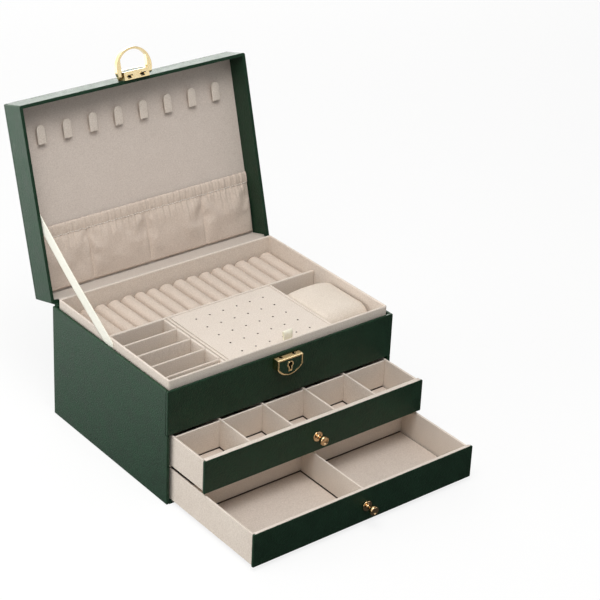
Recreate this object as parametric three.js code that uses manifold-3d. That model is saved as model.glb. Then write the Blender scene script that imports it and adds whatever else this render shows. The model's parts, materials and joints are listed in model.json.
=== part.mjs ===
// Tiered jewelry box: a leatherette case with a quilted lid, a velvet tray and two drawers.
// Millimetres, +Z up, front towards -Y, origin at the centre of the case's underside.
// It stands as it is used: lid leaning open on its ribbon, both drawers pulled, lock bail swung up.
import * as THREE from 'three';
import { mergeVertices } from 'three/addons/utils/BufferGeometryUtils.js';
import Module from 'manifold-3d';

const wasm = await Module();
wasm.setup();

// The whole box
const boxWidth = 260;
const boxDepth = 192;
const caseHeight = 118;
const lidHeight = 33;
const caseBoard = 3.2;
const boardEdge = 0.7;
const cornerRadius = 2.2;
const seamGap = 0.6;
const overrun = 5;
const glueGap = 0.1;
const seatGap = 0.3;

// How far it stands open
const lidOpenDegrees = 105.5;
const bailOpenDegrees = 90;
const upperPull = 51.6;
const lowerPull = 124.4;

// Case front and drawer bays
const fasciaHeight = 45.4;
const frontReveal = 0.6;
const frontsGap = 1;
const shelfBoard = 2.4;
const shelfSetback = 0.8;
const trayFloorBoard = 2.6;

// Drawers
const frontBoard = 3;
const frontSideGap = 0.6;
const drawerWall = 2.5;
const drawerFloor = 2;
const drawerSideGap = 2.2;
const drawerTopGap = 1;
const drawerBackGap = 3;
const drawerEdge = 0.6;
const drawerBoard = 2.2;
const drawerPad = 1;
const padGap = 0.5;
const lapGap = 0.25;
const upperColumns = 5;
const upperEndSpare = 1.6;
const upperFrontCell = 44;
const upperBoardRise = 0.7;
const upperCrossDrop = 0.4;
const lowerColumns = 2;
const lowerFrontCell = 87.5;
const lowerCrossDrop = 1.6;

// Drawer knobs
const knobFlangeRadius = 5.2;
const knobFlangeThick = 1.5;
const knobNeckRadius = 1.9;
const knobButtonRadius = 4.5;
const knobButtonThick = 4.6;
const knobReach = 11.6;
const knobDimpleRadius = 2.6;
const knobDimpleDepth = 0.7;
const knobRounding = 1.1;
const knobSides = 18;
const knobStudRadius = 1.5;
const knobStudGap = 0.25;
const knobDrop = 0.7;

// Velvet tray in the top of the case
const trayProud = 8;
const trayWall = 2.3;
const trayRimRound = 1.1;
const traySideGap = 0.9;
const trayEndGap = 1.3;
const trayBoard = 3.4;
const trayBoardEdge = 0.9;
const ringRowDepth = 70;
const slotLength = 65.4;
const slotFrontDepth = 15;
const slotCount = 5;
const slotBoard = 2.6;

// Lift-out earring plate and the frame that it lies in
const plateFrameGap = 0.4;
const plateWidth = 116.5;
const plateThick = 3;
const plateGap = 0.4;
const plateLedge = 2;
const plateEdge = 0.5;
const plateHoleRadius = 1;
const plateHoleColumns = 6;
const plateHoleRows = 5;
const plateHoleSideMargin = 18.9;
const plateHoleEndMargin = 16;
const plateHoleSides = 8;
const tabWidth = 10;
const tabThick = 1.2;
const tabRise = 12.4;
const tabFoot = 3.4;
const tabLean = 2.6;
const tabFromMiddle = 4.65;
const tabFromFront = 2.6;

// Ring cushion and watch pillow
const rollCount = 16;
const rollsTop = 111.5;
const rollSwell = 5;
const rollSteps = 6;
const rollEndDrop = 2.4;
const rollEndLength = 5;
const rollUnevenShare = 0.08;
const rollUnevenTurn = 2.1;
const rollDriftShare = 0.05;
const cushionGap = 0.4;
const pillowSideGap = 0.5;
const pillowRightGap = 2.4;
const pillowEndGap = 14.5;
const pillowTop = 121;
const pillowCrown = 2.6;
const pillowEndRadius = 15;
const pillowBaseRadius = 6;
const pillowSeamInset = 1.6;
const pillowArcSteps = 4;
const pillowBands = 12;
const pillowEdgePower = 12;

// Lid
const lidBoard = 3;
const lidFrameBoard = 5.2;
const lidSideBorder = 22.7;
const lidEndBorder = 21;
const lidCrownDrop = 3.4;
const lidCrownReach = 7;
const recessRadius = 1;
const padWallGap = 0.4;
const quiltPitchX = 34.1;
const quiltPitchY = 49.4;
const quiltSteps = 3;
const quiltHemThick = 1.2;
const quiltSeamThick = 3.1;
const quiltPuff = 2;
const quiltHemReach = 5;
const liningThick = 1;
const backLiningThick = 0.7;
const backLiningDrop = 1.5;
const hingeLeather = 0.8;
const hingeFlap = 26;
const hingeEndInset = 3;

// Necklace hooks on the lid's lining
const hookCount = 8;
const hookEndMargin = 25.1;
const hookWidth = 8.8;
const hookLength = 18.6;
const hookThick = 1.8;
const hookStandOff = 2.2;
const hookFoot = 5;
const hookFootFromHinge = 148;

// Gathered pocket across the lid
const pocketTop = 68.7;
const pocketBottom = 6;
const pocketHeader = 11.5;
const pocketSideWidth = 58.7;
const pocketBelly = 5.2;
const pocketHeaderThick = 2;
const pocketGather = 0.7;
const pocketGatherPitch = 6.6;
const pocketHem = 0.8;
const pocketSeamDip = 2.6;
const pocketSeamReach = 7;
const pocketColumns = 72;
const pocketRows = 9;

// Stay ribbon between case and lid, on the left
const ribbonWidth = 12.5;
const ribbonThick = 0.4;
const ribbonCaseY = 1;
const ribbonTuck = 10;
const ribbonLidFromHinge = 88;
const ribbonLidHeight = 10;
const ribbonSag = 1.4;
const ribbonSteps = 8;

// Lock: lower half on the case, upper half and bail on the lid
const lockCentreDrop = 3;
const lockChord = 1.2;
const lockHalfWidth = 14.3;
const lockDepth = 8.2;
const lockSkin = 1.2;
const lockLowerRadius = 16.8;
const lockUpperRadius = 19.7;
const lockShoulder = 9.4;
const lockGap = 0.3;
const inlayInset = 1.3;
const inlayRecess = 0.9;
const inlayThick = 0.6;
const inlayGap = 0.25;
const claspInlayInset = 2.9;
const pegRadius = 1.5;
const pegNeckRadius = 0.9;
const pegHead = 1.1;
const pegSpread = 7.5;
const pegSlotLength = 5.6;
const pegSlotWidth = 3.4;
const pegSlotDepth = 3;
const pegHoleRadius = 1.95;
const keyholeDrop = 6;
const keyholeRadius = 2.4;
const keyholeSlotWidth = 1.7;
const keyholeSlotLength = 5.7;
const escutcheonBand = 1.3;
const escutcheonThick = 1.1;
const camRadius = 3.6;
const camThick = 1.4;
const camPinRadius = 0.7;
const camPinOffset = 2.83;
const camTurnDegrees = 45;
const boltThick = 0.8;
const boltHalfWidth = 2.5;
const boltPegSlot = 1.15;
const boltPegHole = 1.75;
const forkGap = 0.25;
const forkWall = 1;
const forkReach = 1.2;
const bailRadius = 20;
const bailBand = 2.3;
const bailInnerHalf = 14.9;
const bailThick = 4.4;
const bailStandOff = 2.1;
const bailWebThick = 1.6;
const bailLegBand = 1.3;
const bailPivotRise = 6.2;
const bailPinRadius = 1;
const bailPinReach = 2.4;
const bailPinGap = 0.2;
const smallSides = 12;
const arcSides = 20;
const largeSides = 48;

const halfWidth = boxWidth / 2;
const halfDepth = boxDepth / 2;
const innerHalfWidth = halfWidth - caseBoard;
const innerHalfDepth = halfDepth - caseBoard;
const radians = THREE.MathUtils.degToRad;

const finishes = {
  leatherette: { color: 0x22392e, roughness: 0.5, metalness: 0 },
  velvet: { color: 0xdccfc0, roughness: 0.95, metalness: 0 },
  satin: { color: 0xeeeedf, roughness: 0.6, metalness: 0 },
  gold: { color: 0xe3cf95, roughness: 0.25, metalness: 1 },
  steel: { color: 0x9a9a98, roughness: 0.4, metalness: 1 },
};

// Solids: closed meshes in, closed meshes out.

function solidOf(geometry) {
  const bare = (geometry.index ? geometry.toNonIndexed() : geometry.clone());
  bare.deleteAttribute('normal');
  bare.deleteAttribute('uv');
  const merged = mergeVertices(bare);
  const mesh = new wasm.Mesh({
    numProp: 3,
    vertProperties: new Float32Array(merged.attributes.position.array),
    triVerts: new Uint32Array(merged.index.array),
  });
  return new wasm.Manifold(mesh);
}

function geometryOf(solid) {
  const mesh = solid.getMesh();
  const geometry = new THREE.BufferGeometry();
  geometry.setAttribute('position', new THREE.BufferAttribute(new Float32Array(mesh.vertProperties), 3));
  geometry.setIndex(new THREE.BufferAttribute(new Uint32Array(mesh.triVerts), 1));
  return geometry;
}

function cut(body, ...tools) {
  let result = solidOf(body);
  for (const tool of tools) result = result.subtract(solidOf(tool));
  return geometryOf(result);
}

function join(body, ...others) {
  let result = solidOf(body);
  for (const other of others) result = result.add(solidOf(other));
  return geometryOf(result);
}

function common(body, other) {
  return geometryOf(solidOf(body).intersect(solidOf(other)));
}

function block(x0, x1, y0, y1, z0, z1) {
  const geometry = new THREE.BoxGeometry(x1 - x0, y1 - y0, z1 - z0);
  return geometry.translate((x0 + x1) / 2, (y0 + y1) / 2, (z0 + z1) / 2);
}

function rectanglePath(path, x0, x1, y0, y1, radius) {
  path.moveTo(x0 + radius, y0);
  path.lineTo(x1 - radius, y0);
  path.absarc(x1 - radius, y0 + radius, radius, -Math.PI / 2, 0);
  path.lineTo(x1, y1 - radius);
  path.absarc(x1 - radius, y1 - radius, radius, 0, Math.PI / 2);
  path.lineTo(x0 + radius, y1);
  path.absarc(x0 + radius, y1 - radius, radius, Math.PI / 2, Math.PI);
  path.lineTo(x0, y0 + radius);
  path.absarc(x0 + radius, y0 + radius, radius, Math.PI, Math.PI * 3 / 2);
  return path;
}

// A board wrapped in leatherette or velvet: a block whose edges are all eased.
function wrappedBoard(x0, x1, y0, y1, z0, z1, edge, steps = 1) {
  const radius = Math.min(edge, x1 - x0 - 2 * edge, y1 - y0 - 2 * edge) / 3;
  const outline = rectanglePath(new THREE.Shape(), x0 + edge, x1 - edge, y0 + edge, y1 - edge, radius);
  const geometry = new THREE.ExtrudeGeometry(outline, {
    depth: z1 - z0 - 2 * edge,
    bevelThickness: edge,
    bevelSize: edge,
    bevelSegments: steps,
    curveSegments: steps,
  });
  return geometry.translate(0, 0, z0 + edge);
}

// A four-sided wall, standing on z0, with eased top and bottom edges.
function wallRing(outerX, outerY, wall, z0, z1, edge, steps) {
  const outline = rectanglePath(
    new THREE.Shape(), -outerX + edge, outerX - edge, -outerY + edge, outerY - edge, edge);
  const innerX = outerX - wall + edge;
  const innerY = outerY - wall + edge;
  outline.holes.push(rectanglePath(new THREE.Path(), -innerX, innerX, -innerY, innerY, edge));
  const geometry = new THREE.ExtrudeGeometry(outline, {
    depth: z1 - z0 - 2 * edge,
    bevelThickness: edge,
    bevelSize: edge,
    bevelSegments: steps,
    curveSegments: steps,
  });
  return geometry.translate(0, 0, z0 + edge);
}

// A flat plate with its outline in X and Z, from y0 back to y1.
function uprightPlate(outline, y0, y1, curveSegments = arcSides) {
  const geometry = new THREE.ExtrudeGeometry(outline, {
    depth: y1 - y0,
    bevelEnabled: false,
    curveSegments,
  });
  return geometry.rotateX(Math.PI / 2).translate(0, y1, 0);
}

function rodAlongY(radius, x, z, y0, y1, sides = arcSides) {
  const geometry = new THREE.CylinderGeometry(radius, radius, y1 - y0, sides);
  return geometry.translate(x, (y0 + y1) / 2, z);
}

function rodAlongX(radius, y, z, x0, x1, sides = arcSides) {
  const geometry = new THREE.CylinderGeometry(radius, radius, x1 - x0, sides);
  return geometry.rotateZ(Math.PI / 2).translate((x0 + x1) / 2, y, z);
}

function rodAlongZ(radius, x, y, z0, z1, sides = arcSides) {
  const geometry = new THREE.CylinderGeometry(radius, radius, z1 - z0, sides);
  return geometry.rotateX(Math.PI / 2).translate(x, y, (z0 + z1) / 2);
}

function addPiece(group, name, geometry, finish) {
  const mesh = new THREE.Mesh(geometry, new THREE.MeshStandardMaterial(finishes[finish]));
  mesh.name = name;
  group.add(mesh);
}

// Case: floor, sides, back, front fascia, the shelf between the drawers and the floor of the tray.

const bayTop = caseHeight - fasciaHeight;
const frontHeight = (bayTop - caseBoard - 2 * frontReveal - frontsGap) / 2;
const lowerFrontBottom = caseBoard + frontReveal;
const upperFrontBottom = lowerFrontBottom + frontHeight + frontsGap;
const shelfMiddle = upperFrontBottom - frontsGap / 2;
const shelfTop = shelfMiddle + shelfBoard / 2;
const shelfUnderside = shelfMiddle - shelfBoard / 2;
const trayFloorTop = bayTop + trayFloorBoard;

// The side's front edge runs flush beside the drawers and steps back behind the fascia above them.
function caseSide(side) {
  const inner = side * innerHalfWidth;
  const outer = side * halfWidth;
  const board = wrappedBoard(
    Math.min(inner, outer), Math.max(inner, outer), -halfDepth, halfDepth, 0, caseHeight, boardEdge);
  const step = block(
    -halfWidth - overrun, halfWidth + overrun,
    -halfDepth - overrun, -innerHalfDepth + glueGap, bayTop - glueGap, caseHeight + overrun);
  return cut(board, step);
}

function caseFloor() {
  const reach = innerHalfWidth - glueGap;
  return block(-reach, reach, -halfDepth, innerHalfDepth - glueGap, 0, caseBoard);
}

function caseBack() {
  const reach = innerHalfWidth - glueGap;
  return wrappedBoard(-reach, reach, innerHalfDepth, halfDepth, 0, caseHeight, boardEdge);
}

function caseFascia() {
  return wrappedBoard(-halfWidth, halfWidth, -halfDepth, -innerHalfDepth, bayTop, caseHeight, boardEdge);
}

function drawerShelf() {
  const reach = innerHalfWidth - glueGap;
  const front = -halfDepth + frontBoard + shelfSetback;
  return block(-reach, reach, front, innerHalfDepth - glueGap, shelfUnderside, shelfTop);
}

function trayFloor() {
  const reach = innerHalfWidth - glueGap;
  return block(-reach, reach, -innerHalfDepth + glueGap, innerHalfDepth - glueGap, bayTop, trayFloorTop);
}

function addCase(box) {
  addPiece(box, 'case_floor', caseFloor(), 'leatherette');
  addPiece(box, 'case_left_side', caseSide(-1), 'leatherette');
  addPiece(box, 'case_right_side', caseSide(1), 'leatherette');
  addPiece(box, 'case_back', caseBack(), 'leatherette');
  addPiece(box, 'case_front_fascia', caseFascia(), 'leatherette');
  addPiece(box, 'drawer_shelf', drawerShelf(), 'velvet');
  addPiece(box, 'tray_floor', trayFloor(), 'velvet');
}

// Tray: a velvet frame that stands proud of the case, and the boards that divide it.

const trayTop = caseHeight + trayProud;
const trayBase = trayFloorTop + glueGap;
const trayOuterX = innerHalfWidth - traySideGap;
const trayOuterY = innerHalfDepth - trayEndGap;
const trayInnerX = trayOuterX - trayWall;
const trayInnerY = trayOuterY - trayWall;
const boardTop = caseHeight;
const partitionBack = trayInnerY - ringRowDepth;
const partitionFront = partitionBack - trayBoard;
const ringPartitionY = (partitionFront + partitionBack) / 2;
const slotWallLeft = -trayInnerX + slotLength;
const slotWallRight = slotWallLeft + trayBoard;
const slotPitch = (ringPartitionY + trayInnerY - slotFrontDepth - slotBoard / 2) / (slotCount - 1);
const lapHeight = (trayBase + boardTop) / 2;
const slotDividerYs = Array.from({ length: slotCount - 1 }, (_, i) => ringPartitionY - (i + 1) * slotPitch);
const frameLeft = slotWallRight + plateFrameGap;
const plateLeft = frameLeft + trayBoard + plateGap;
const plateRight = plateLeft + plateWidth;
const frameRight = plateRight + plateGap + trayBoard;
const frameFront = -trayInnerY + glueGap;
const frameBack = partitionFront - glueGap;
const ledgeTop = boardTop - plateThick - seatGap;
const plateFront = -trayInnerY + plateGap;
const plateBack = partitionFront - plateGap;
const pillowWidth = trayInnerX - frameRight - pillowSideGap - pillowRightGap;
const pillowLength = partitionFront + trayInnerY - 2 * pillowEndGap;

function trayFrame() {
  return wallRing(trayOuterX, trayOuterY, trayWall, trayBase, trayTop, trayRimRound, 2);
}

function ringPartition() {
  const reach = trayInnerX - glueGap;
  return wrappedBoard(-reach, reach, partitionFront, partitionBack, trayBase, boardTop, trayBoardEdge);
}

// The slot wall is notched from above, so that the slot dividers lap over it.
function slotWall() {
  const wall = wrappedBoard(
    slotWallLeft, slotWallRight, frameFront, frameBack, trayBase, boardTop, trayBoardEdge);
  const notches = slotDividerYs.map((y) => block(
    slotWallLeft - overrun, slotWallRight + overrun,
    y - slotBoard / 2 - lapGap, y + slotBoard / 2 + lapGap, lapHeight, boardTop + overrun));
  return cut(wall, ...notches);
}

function slotDivider(y) {
  const divider = wrappedBoard(
    -trayInnerX + glueGap, slotWallRight, y - slotBoard / 2, y + slotBoard / 2,
    trayBase, boardTop, trayBoardEdge);
  const notch = block(
    slotWallLeft - lapGap, slotWallRight + overrun, y - slotBoard, y + slotBoard,
    trayBase - overrun, lapHeight + lapGap);
  return cut(divider, notch);
}

// Two full-height cheeks beside the plate, and a ledge all round under its edge.
function plateFrame() {
  const leftCheek = wrappedBoard(
    frameLeft, frameLeft + trayBoard, frameFront, frameBack, trayBase, boardTop, trayBoardEdge);
  const rightCheek = wrappedBoard(
    frameRight - trayBoard, frameRight, frameFront, frameBack, trayBase, boardTop, trayBoardEdge);
  const ledge = cut(
    block(frameLeft + trayBoard / 2, frameRight - trayBoard / 2, frameFront, frameBack, trayBase, ledgeTop),
    block(
      plateLeft + plateLedge, plateRight - plateLedge, frameFront + plateLedge, frameBack - plateLedge,
      trayBase - overrun, ledgeTop + overrun));
  return join(leftCheek, rightCheek, ledge);
}

function earringPlate() {
  const top = boardTop;
  const plate = wrappedBoard(plateLeft, plateRight, plateFront, plateBack, top - plateThick, top, plateEdge);
  const pitchX = (plateWidth - 2 * plateHoleSideMargin) / (plateHoleColumns - 1);
  const pitchY = (plateBack - plateFront - 2 * plateHoleEndMargin) / (plateHoleRows - 1);
  const holes = [];
  for (let column = 0; column < plateHoleColumns; column++) {
    for (let row = 0; row < plateHoleRows; row++) {
      const x = plateLeft + plateHoleSideMargin + column * pitchX;
      const y = plateFront + plateHoleEndMargin + row * pitchY;
      holes.push(rodAlongZ(plateHoleRadius, x, y, top - plateThick - overrun, top + overrun, plateHoleSides));
    }
  }
  return cut(plate, ...holes);
}

// A stub of ribbon glued along the plate, then turned up and back to make the pull.
function plateTab() {
  const front = plateFront + tabFromFront;
  const left = (plateLeft + plateRight - tabWidth) / 2 + tabFromMiddle;
  const foot = boardTop + seatGap;
  const side = new THREE.Shape();
  side.moveTo(front, foot);
  side.lineTo(front + tabFoot, foot);
  side.lineTo(front + tabFoot, foot + tabThick / 2);
  side.lineTo(front + tabThick, foot + tabThick);
  side.lineTo(front + tabThick + tabLean, foot + tabRise);
  side.lineTo(front + tabLean, foot + tabRise);
  side.closePath();
  const geometry = new THREE.ExtrudeGeometry(side, { depth: tabWidth, bevelEnabled: false });
  geometry.rotateX(Math.PI / 2).rotateZ(Math.PI / 2);
  return geometry.translate(left, 0, 0);
}

function addTray(box) {
  addPiece(box, 'tray_frame', trayFrame(), 'velvet');
  addPiece(box, 'ring_partition', ringPartition(), 'velvet');
  addPiece(box, 'slot_wall', slotWall(), 'velvet');
  slotDividerYs.forEach((y, i) => addPiece(box, `slot_divider_${i + 1}`, slotDivider(y), 'velvet'));
  addPiece(box, 'plate_frame', plateFrame(), 'velvet');
  addPiece(box, 'earring_plate', earringPlate(), 'velvet');
  addPiece(box, 'plate_tab', plateTab(), 'satin');
}

// Soft fittings of the tray: the row of ring rolls and the watch pillow.

// Rolls are sewn by hand, so each is a little wider or narrower than its neighbours.
function rollEdges() {
  const widths = Array.from({ length: rollCount }, (_, i) => {
    return 1 + rollUnevenShare * Math.sin(i * rollUnevenTurn) + rollDriftShare * Math.sin(i);
  });
  const total = widths.reduce((sum, width) => sum + width, 0);
  const reach = trayInnerX - cushionGap;
  const edges = [-reach];
  for (const width of widths) edges.push(edges[edges.length - 1] + width / total * 2 * reach);
  return edges;
}

function gridSolid(columns, rows, topPoint, floorZ) {
  const positions = [];
  const push = (...points) => points.forEach((p) => positions.push(p.x, p.y, p.z));
  const top = [];
  for (let i = 0; i <= columns; i++) {
    top.push([]);
    for (let j = 0; j <= rows; j++) top[i].push(topPoint(i, j));
  }
  for (let i = 0; i < columns; i++) {
    for (let j = 0; j < rows; j++) {
      const [a, b, c, d] = [top[i][j], top[i + 1][j], top[i + 1][j + 1], top[i][j + 1]];
      if (topPoint.slant && topPoint.slant(i, j)) push(a, b, d, b, c, d);
      else push(a, b, c, a, c, d);
    }
  }
  const rim = [];
  for (let i = 0; i < columns; i++) rim.push(top[i][0]);
  for (let j = 0; j < rows; j++) rim.push(top[columns][j]);
  for (let i = columns; i > 0; i--) rim.push(top[i][rows]);
  for (let j = rows; j > 0; j--) rim.push(top[0][j]);
  const low = rim.map((p) => new THREE.Vector3(p.x, p.y, floorZ));
  const middle = new THREE.Vector3();
  low.forEach((p) => middle.add(p));
  middle.divideScalar(low.length).setZ(floorZ);
  rim.forEach((p, i) => {
    const next = (i + 1) % rim.length;
    push(p, low[i], low[next], p, low[next], rim[next]);
    push(middle, low[next], low[i]);
  });
  const geometry = new THREE.BufferGeometry();
  geometry.setAttribute('position', new THREE.Float32BufferAttribute(positions, 3));
  return mergeVertices(geometry);
}

// Each roll is a half round that dips to the seam beside it and rounds down at its two ends.
function ringCushion() {
  const edges = rollEdges();
  const front = partitionBack + cushionGap;
  const back = trayInnerY - cushionGap;
  const rowYs = [front, front + rollEndLength / 2, front + rollEndLength,
    back - rollEndLength, back - rollEndLength / 2, back];
  const rowDrops = [rollEndDrop, rollEndDrop / 4, 0, 0, rollEndDrop / 4, rollEndDrop];
  const point = (i, j) => {
    const roll = Math.min(Math.floor(i / rollSteps), rollCount - 1);
    const along = i / rollSteps - roll;
    const x = edges[roll] + along * (edges[roll + 1] - edges[roll]);
    const across = 2 * along - 1;
    const z = rollsTop - rollSwell * (1 - Math.sqrt(1 - across * across)) - rowDrops[j];
    return new THREE.Vector3(x, rowYs[j], z);
  };
  return gridSolid(rollCount * rollSteps, rowYs.length - 1, point, trayFloorTop + seatGap);
}

// The pillow that a watch is strapped round: long rounded ends, a slight crown across its width.
function pillowProfile(across) {
  const inset = pillowSeamInset * across ** pillowEdgePower;
  const top = pillowTop - pillowCrown * across * across;
  const base = trayFloorTop + seatGap;
  const half = pillowLength / 2 - inset;
  const high = pillowEndRadius - inset;
  const low = pillowBaseRadius - inset;
  const path = new THREE.Path();
  path.absarc(half - low, base + inset + low, low, -Math.PI / 2, 0);
  path.absarc(half - high, top - inset - high, high, 0, Math.PI / 2);
  path.absarc(-half + high, top - inset - high, high, Math.PI / 2, Math.PI);
  path.absarc(-half + low, base + inset + low, low, Math.PI, Math.PI * 3 / 2);
  return path.getPoints(pillowArcSteps);
}

function watchPillow() {
  const left = frameRight + pillowSideGap;
  const middleY = (partitionFront - trayInnerY) / 2;
  const sections = Array.from({ length: pillowBands + 1 }, (_, band) => {
    const across = -Math.cos(Math.PI * band / pillowBands);
    const x = left + pillowWidth * (1 + across) / 2;
    return pillowProfile(across).map((p) => new THREE.Vector3(x, middleY + p.x, p.y));
  });
  const positions = [];
  const push = (...points) => points.forEach((p) => positions.push(p.x, p.y, p.z));
  const centreOf = (section) => section.reduce((sum, p) => sum.add(p), new THREE.Vector3())
    .divideScalar(section.length);
  const centres = [centreOf(sections[0]), centreOf(sections[pillowBands])];
  sections[0].forEach((_, i) => {
    const next = (i + 1) % sections[0].length;
    for (let band = 0; band < pillowBands; band++) {
      const [near, far] = [sections[band], sections[band + 1]];
      push(near[i], near[next], far[next], near[i], far[next], far[i]);
    }
    push(centres[0], sections[0][next], sections[0][i]);
    push(centres[1], sections[pillowBands][i], sections[pillowBands][next]);
  });
  const geometry = new THREE.BufferGeometry();
  geometry.setAttribute('position', new THREE.Float32BufferAttribute(positions, 3));
  return mergeVertices(geometry);
}

function addSoftFittings(box) {
  addPiece(box, 'ring_cushion', ringCushion(), 'velvet');
  addPiece(box, 'watch_pillow', watchPillow(), 'velvet');
}

// Drawers: a velvet box behind a leatherette front, with lapped dividers over a floor pad.

const drawerOuterX = innerHalfWidth - drawerSideGap;
const drawerInnerX = drawerOuterX - drawerWall;
const drawerFrontY = -halfDepth + frontBoard + glueGap;
const drawerBackY = innerHalfDepth - drawerBackGap;
const drawerInnerFront = drawerFrontY + drawerWall;
const drawerInnerBack = drawerBackY - drawerWall;

function drawerLayout(lower) {
  const bottom = lower ? caseBoard + seatGap : shelfTop + seatGap;
  const top = (lower ? shelfUnderside : bayTop - upperBoardRise) - drawerTopGap;
  const frontBottom = lower ? lowerFrontBottom : upperFrontBottom;
  const crossFront = drawerInnerFront + (lower ? lowerFrontCell : upperFrontCell);
  const columns = lower ? lowerColumns : upperColumns;
  const padTop = bottom + drawerFloor + glueGap + drawerPad;
  const dividerTop = lower ? top - drawerTopGap : top + upperBoardRise;
  const crossTop = dividerTop - (lower ? lowerCrossDrop - drawerTopGap : upperBoardRise + upperCrossDrop);
  const knobZ = frontBottom + frontHeight / 2 - knobDrop;
  const boardBase = padTop + glueGap;
  const lap = (boardBase + crossTop) / 2;
  return { bottom, top, frontBottom, crossFront, columns, padTop, dividerTop, crossTop, knobZ, boardBase, lap };
}

function knobBore(layout) {
  return rodAlongY(
    knobStudRadius + knobStudGap, 0, layout.knobZ, -halfDepth - overrun, drawerInnerFront + overrun,
    smallSides);
}

function drawerBox(layout) {
  const middle = (drawerFrontY + drawerBackY) / 2;
  const walls = wallRing(
    drawerOuterX, (drawerBackY - drawerFrontY) / 2, drawerWall, layout.bottom, layout.top, drawerEdge, 1);
  walls.translate(0, middle, 0);
  const floor = block(
    -drawerOuterX + drawerWall / 2, drawerOuterX - drawerWall / 2,
    drawerFrontY + drawerWall / 2, drawerBackY - drawerWall / 2, layout.bottom, layout.bottom + drawerFloor);
  return cut(join(walls, floor), knobBore(layout));
}

function drawerFront(layout) {
  const reach = innerHalfWidth - frontSideGap;
  const board = wrappedBoard(
    -reach, reach, -halfDepth, -halfDepth + frontBoard,
    layout.frontBottom, layout.frontBottom + frontHeight, boardEdge);
  return cut(board, knobBore(layout));
}

function drawerFloorPad(layout) {
  const reach = drawerInnerX - padGap;
  return block(
    -reach, reach, drawerInnerFront + padGap, drawerInnerBack - padGap,
    layout.bottom + drawerFloor + glueGap, layout.padTop);
}

function dividerXs(layout) {
  const pitch = 2 * (drawerInnerX - upperEndSpare) / layout.columns;
  return Array.from({ length: layout.columns - 1 }, (_, i) => (i + 1 - layout.columns / 2) * pitch);
}

// The cross board is notched from above and the dividers from below, so that they interlock.
function drawerCrossBoard(layout) {
  const reach = drawerInnerX - glueGap;
  const crossBack = layout.crossFront + drawerBoard;
  const board = wrappedBoard(
    -reach, reach, layout.crossFront, crossBack, layout.boardBase, layout.crossTop, drawerEdge);
  const notches = dividerXs(layout).map((x) => block(
    x - drawerBoard / 2 - lapGap, x + drawerBoard / 2 + lapGap,
    layout.crossFront - overrun, crossBack + overrun, layout.lap, layout.crossTop + overrun));
  return cut(board, ...notches);
}

function drawerDivider(layout, x) {
  const board = wrappedBoard(
    x - drawerBoard / 2, x + drawerBoard / 2, drawerInnerFront + glueGap, drawerInnerBack - glueGap,
    layout.boardBase, layout.dividerTop, drawerEdge);
  const notch = block(
    x - drawerBoard, x + drawerBoard,
    layout.crossFront - lapGap, layout.crossFront + drawerBoard + lapGap,
    layout.boardBase - overrun, layout.lap + lapGap);
  return cut(board, notch);
}

// A turned knob: flange, waist and dimpled button in front, and the stud that runs through the front.
function drawerKnob(layout) {
  const buttonBack = knobReach - knobButtonThick;
  const studEnd = -(frontBoard + glueGap + drawerWall / 2);
  const profile = [
    [0, studEnd],
    [knobStudRadius, studEnd],
    [knobStudRadius, glueGap],
    [knobFlangeRadius, glueGap],
    [knobFlangeRadius, knobFlangeThick / 2],
    [knobFlangeRadius - knobRounding, knobFlangeThick],
    [knobNeckRadius, knobFlangeThick + knobRounding / 2],
    [knobNeckRadius, buttonBack - knobRounding / 2],
    [knobButtonRadius - knobRounding, buttonBack],
    [knobButtonRadius, buttonBack + knobRounding],
    [knobButtonRadius, knobReach - knobRounding],
    [knobButtonRadius - knobRounding, knobReach],
    [knobDimpleRadius, knobReach],
    [0, knobReach - knobDimpleDepth],
  ].map(([r, y]) => new THREE.Vector2(r, y));
  const knob = new THREE.LatheGeometry(profile, knobSides);
  return knob.rotateX(Math.PI).translate(0, -halfDepth, layout.knobZ);
}

function addDrawer(box, name, layout, pull) {
  const drawer = new THREE.Group();
  drawer.position.y = -pull;
  addPiece(drawer, `${name}_box`, drawerBox(layout), 'velvet');
  addPiece(drawer, `${name}_front`, drawerFront(layout), 'leatherette');
  addPiece(drawer, `${name}_floor_pad`, drawerFloorPad(layout), 'velvet');
  addPiece(drawer, `${name}_cross_board`, drawerCrossBoard(layout), 'velvet');
  dividerXs(layout).forEach((x, i) => addPiece(
    drawer, `${name}_divider_${i + 1}`, drawerDivider(layout, x), 'velvet'));
  addPiece(drawer, `${name}_knob`, drawerKnob(layout), 'gold');
  box.add(drawer);
}

// Lid, drawn closed about its hinge line: Y runs back from the hinge, Z up from it.

const hingeY = halfDepth + hingeLeather;
const hingeZ = caseHeight + seamGap / 2;
const lidRim = seamGap / 2;
const lidBackY = -hingeLeather;
const lidFrontY = lidBackY - boxDepth;
const lidMiddleY = (lidBackY + lidFrontY) / 2;
const shellTop = lidRim + lidHeight - lidFrameBoard - seatGap;
const shellCeiling = shellTop - lidBoard;
const liningFace = shellCeiling - seatGap - liningThick;
const lidInnerBack = lidBackY - caseBoard;
const lidInnerFront = lidFrontY + caseBoard;

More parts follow.
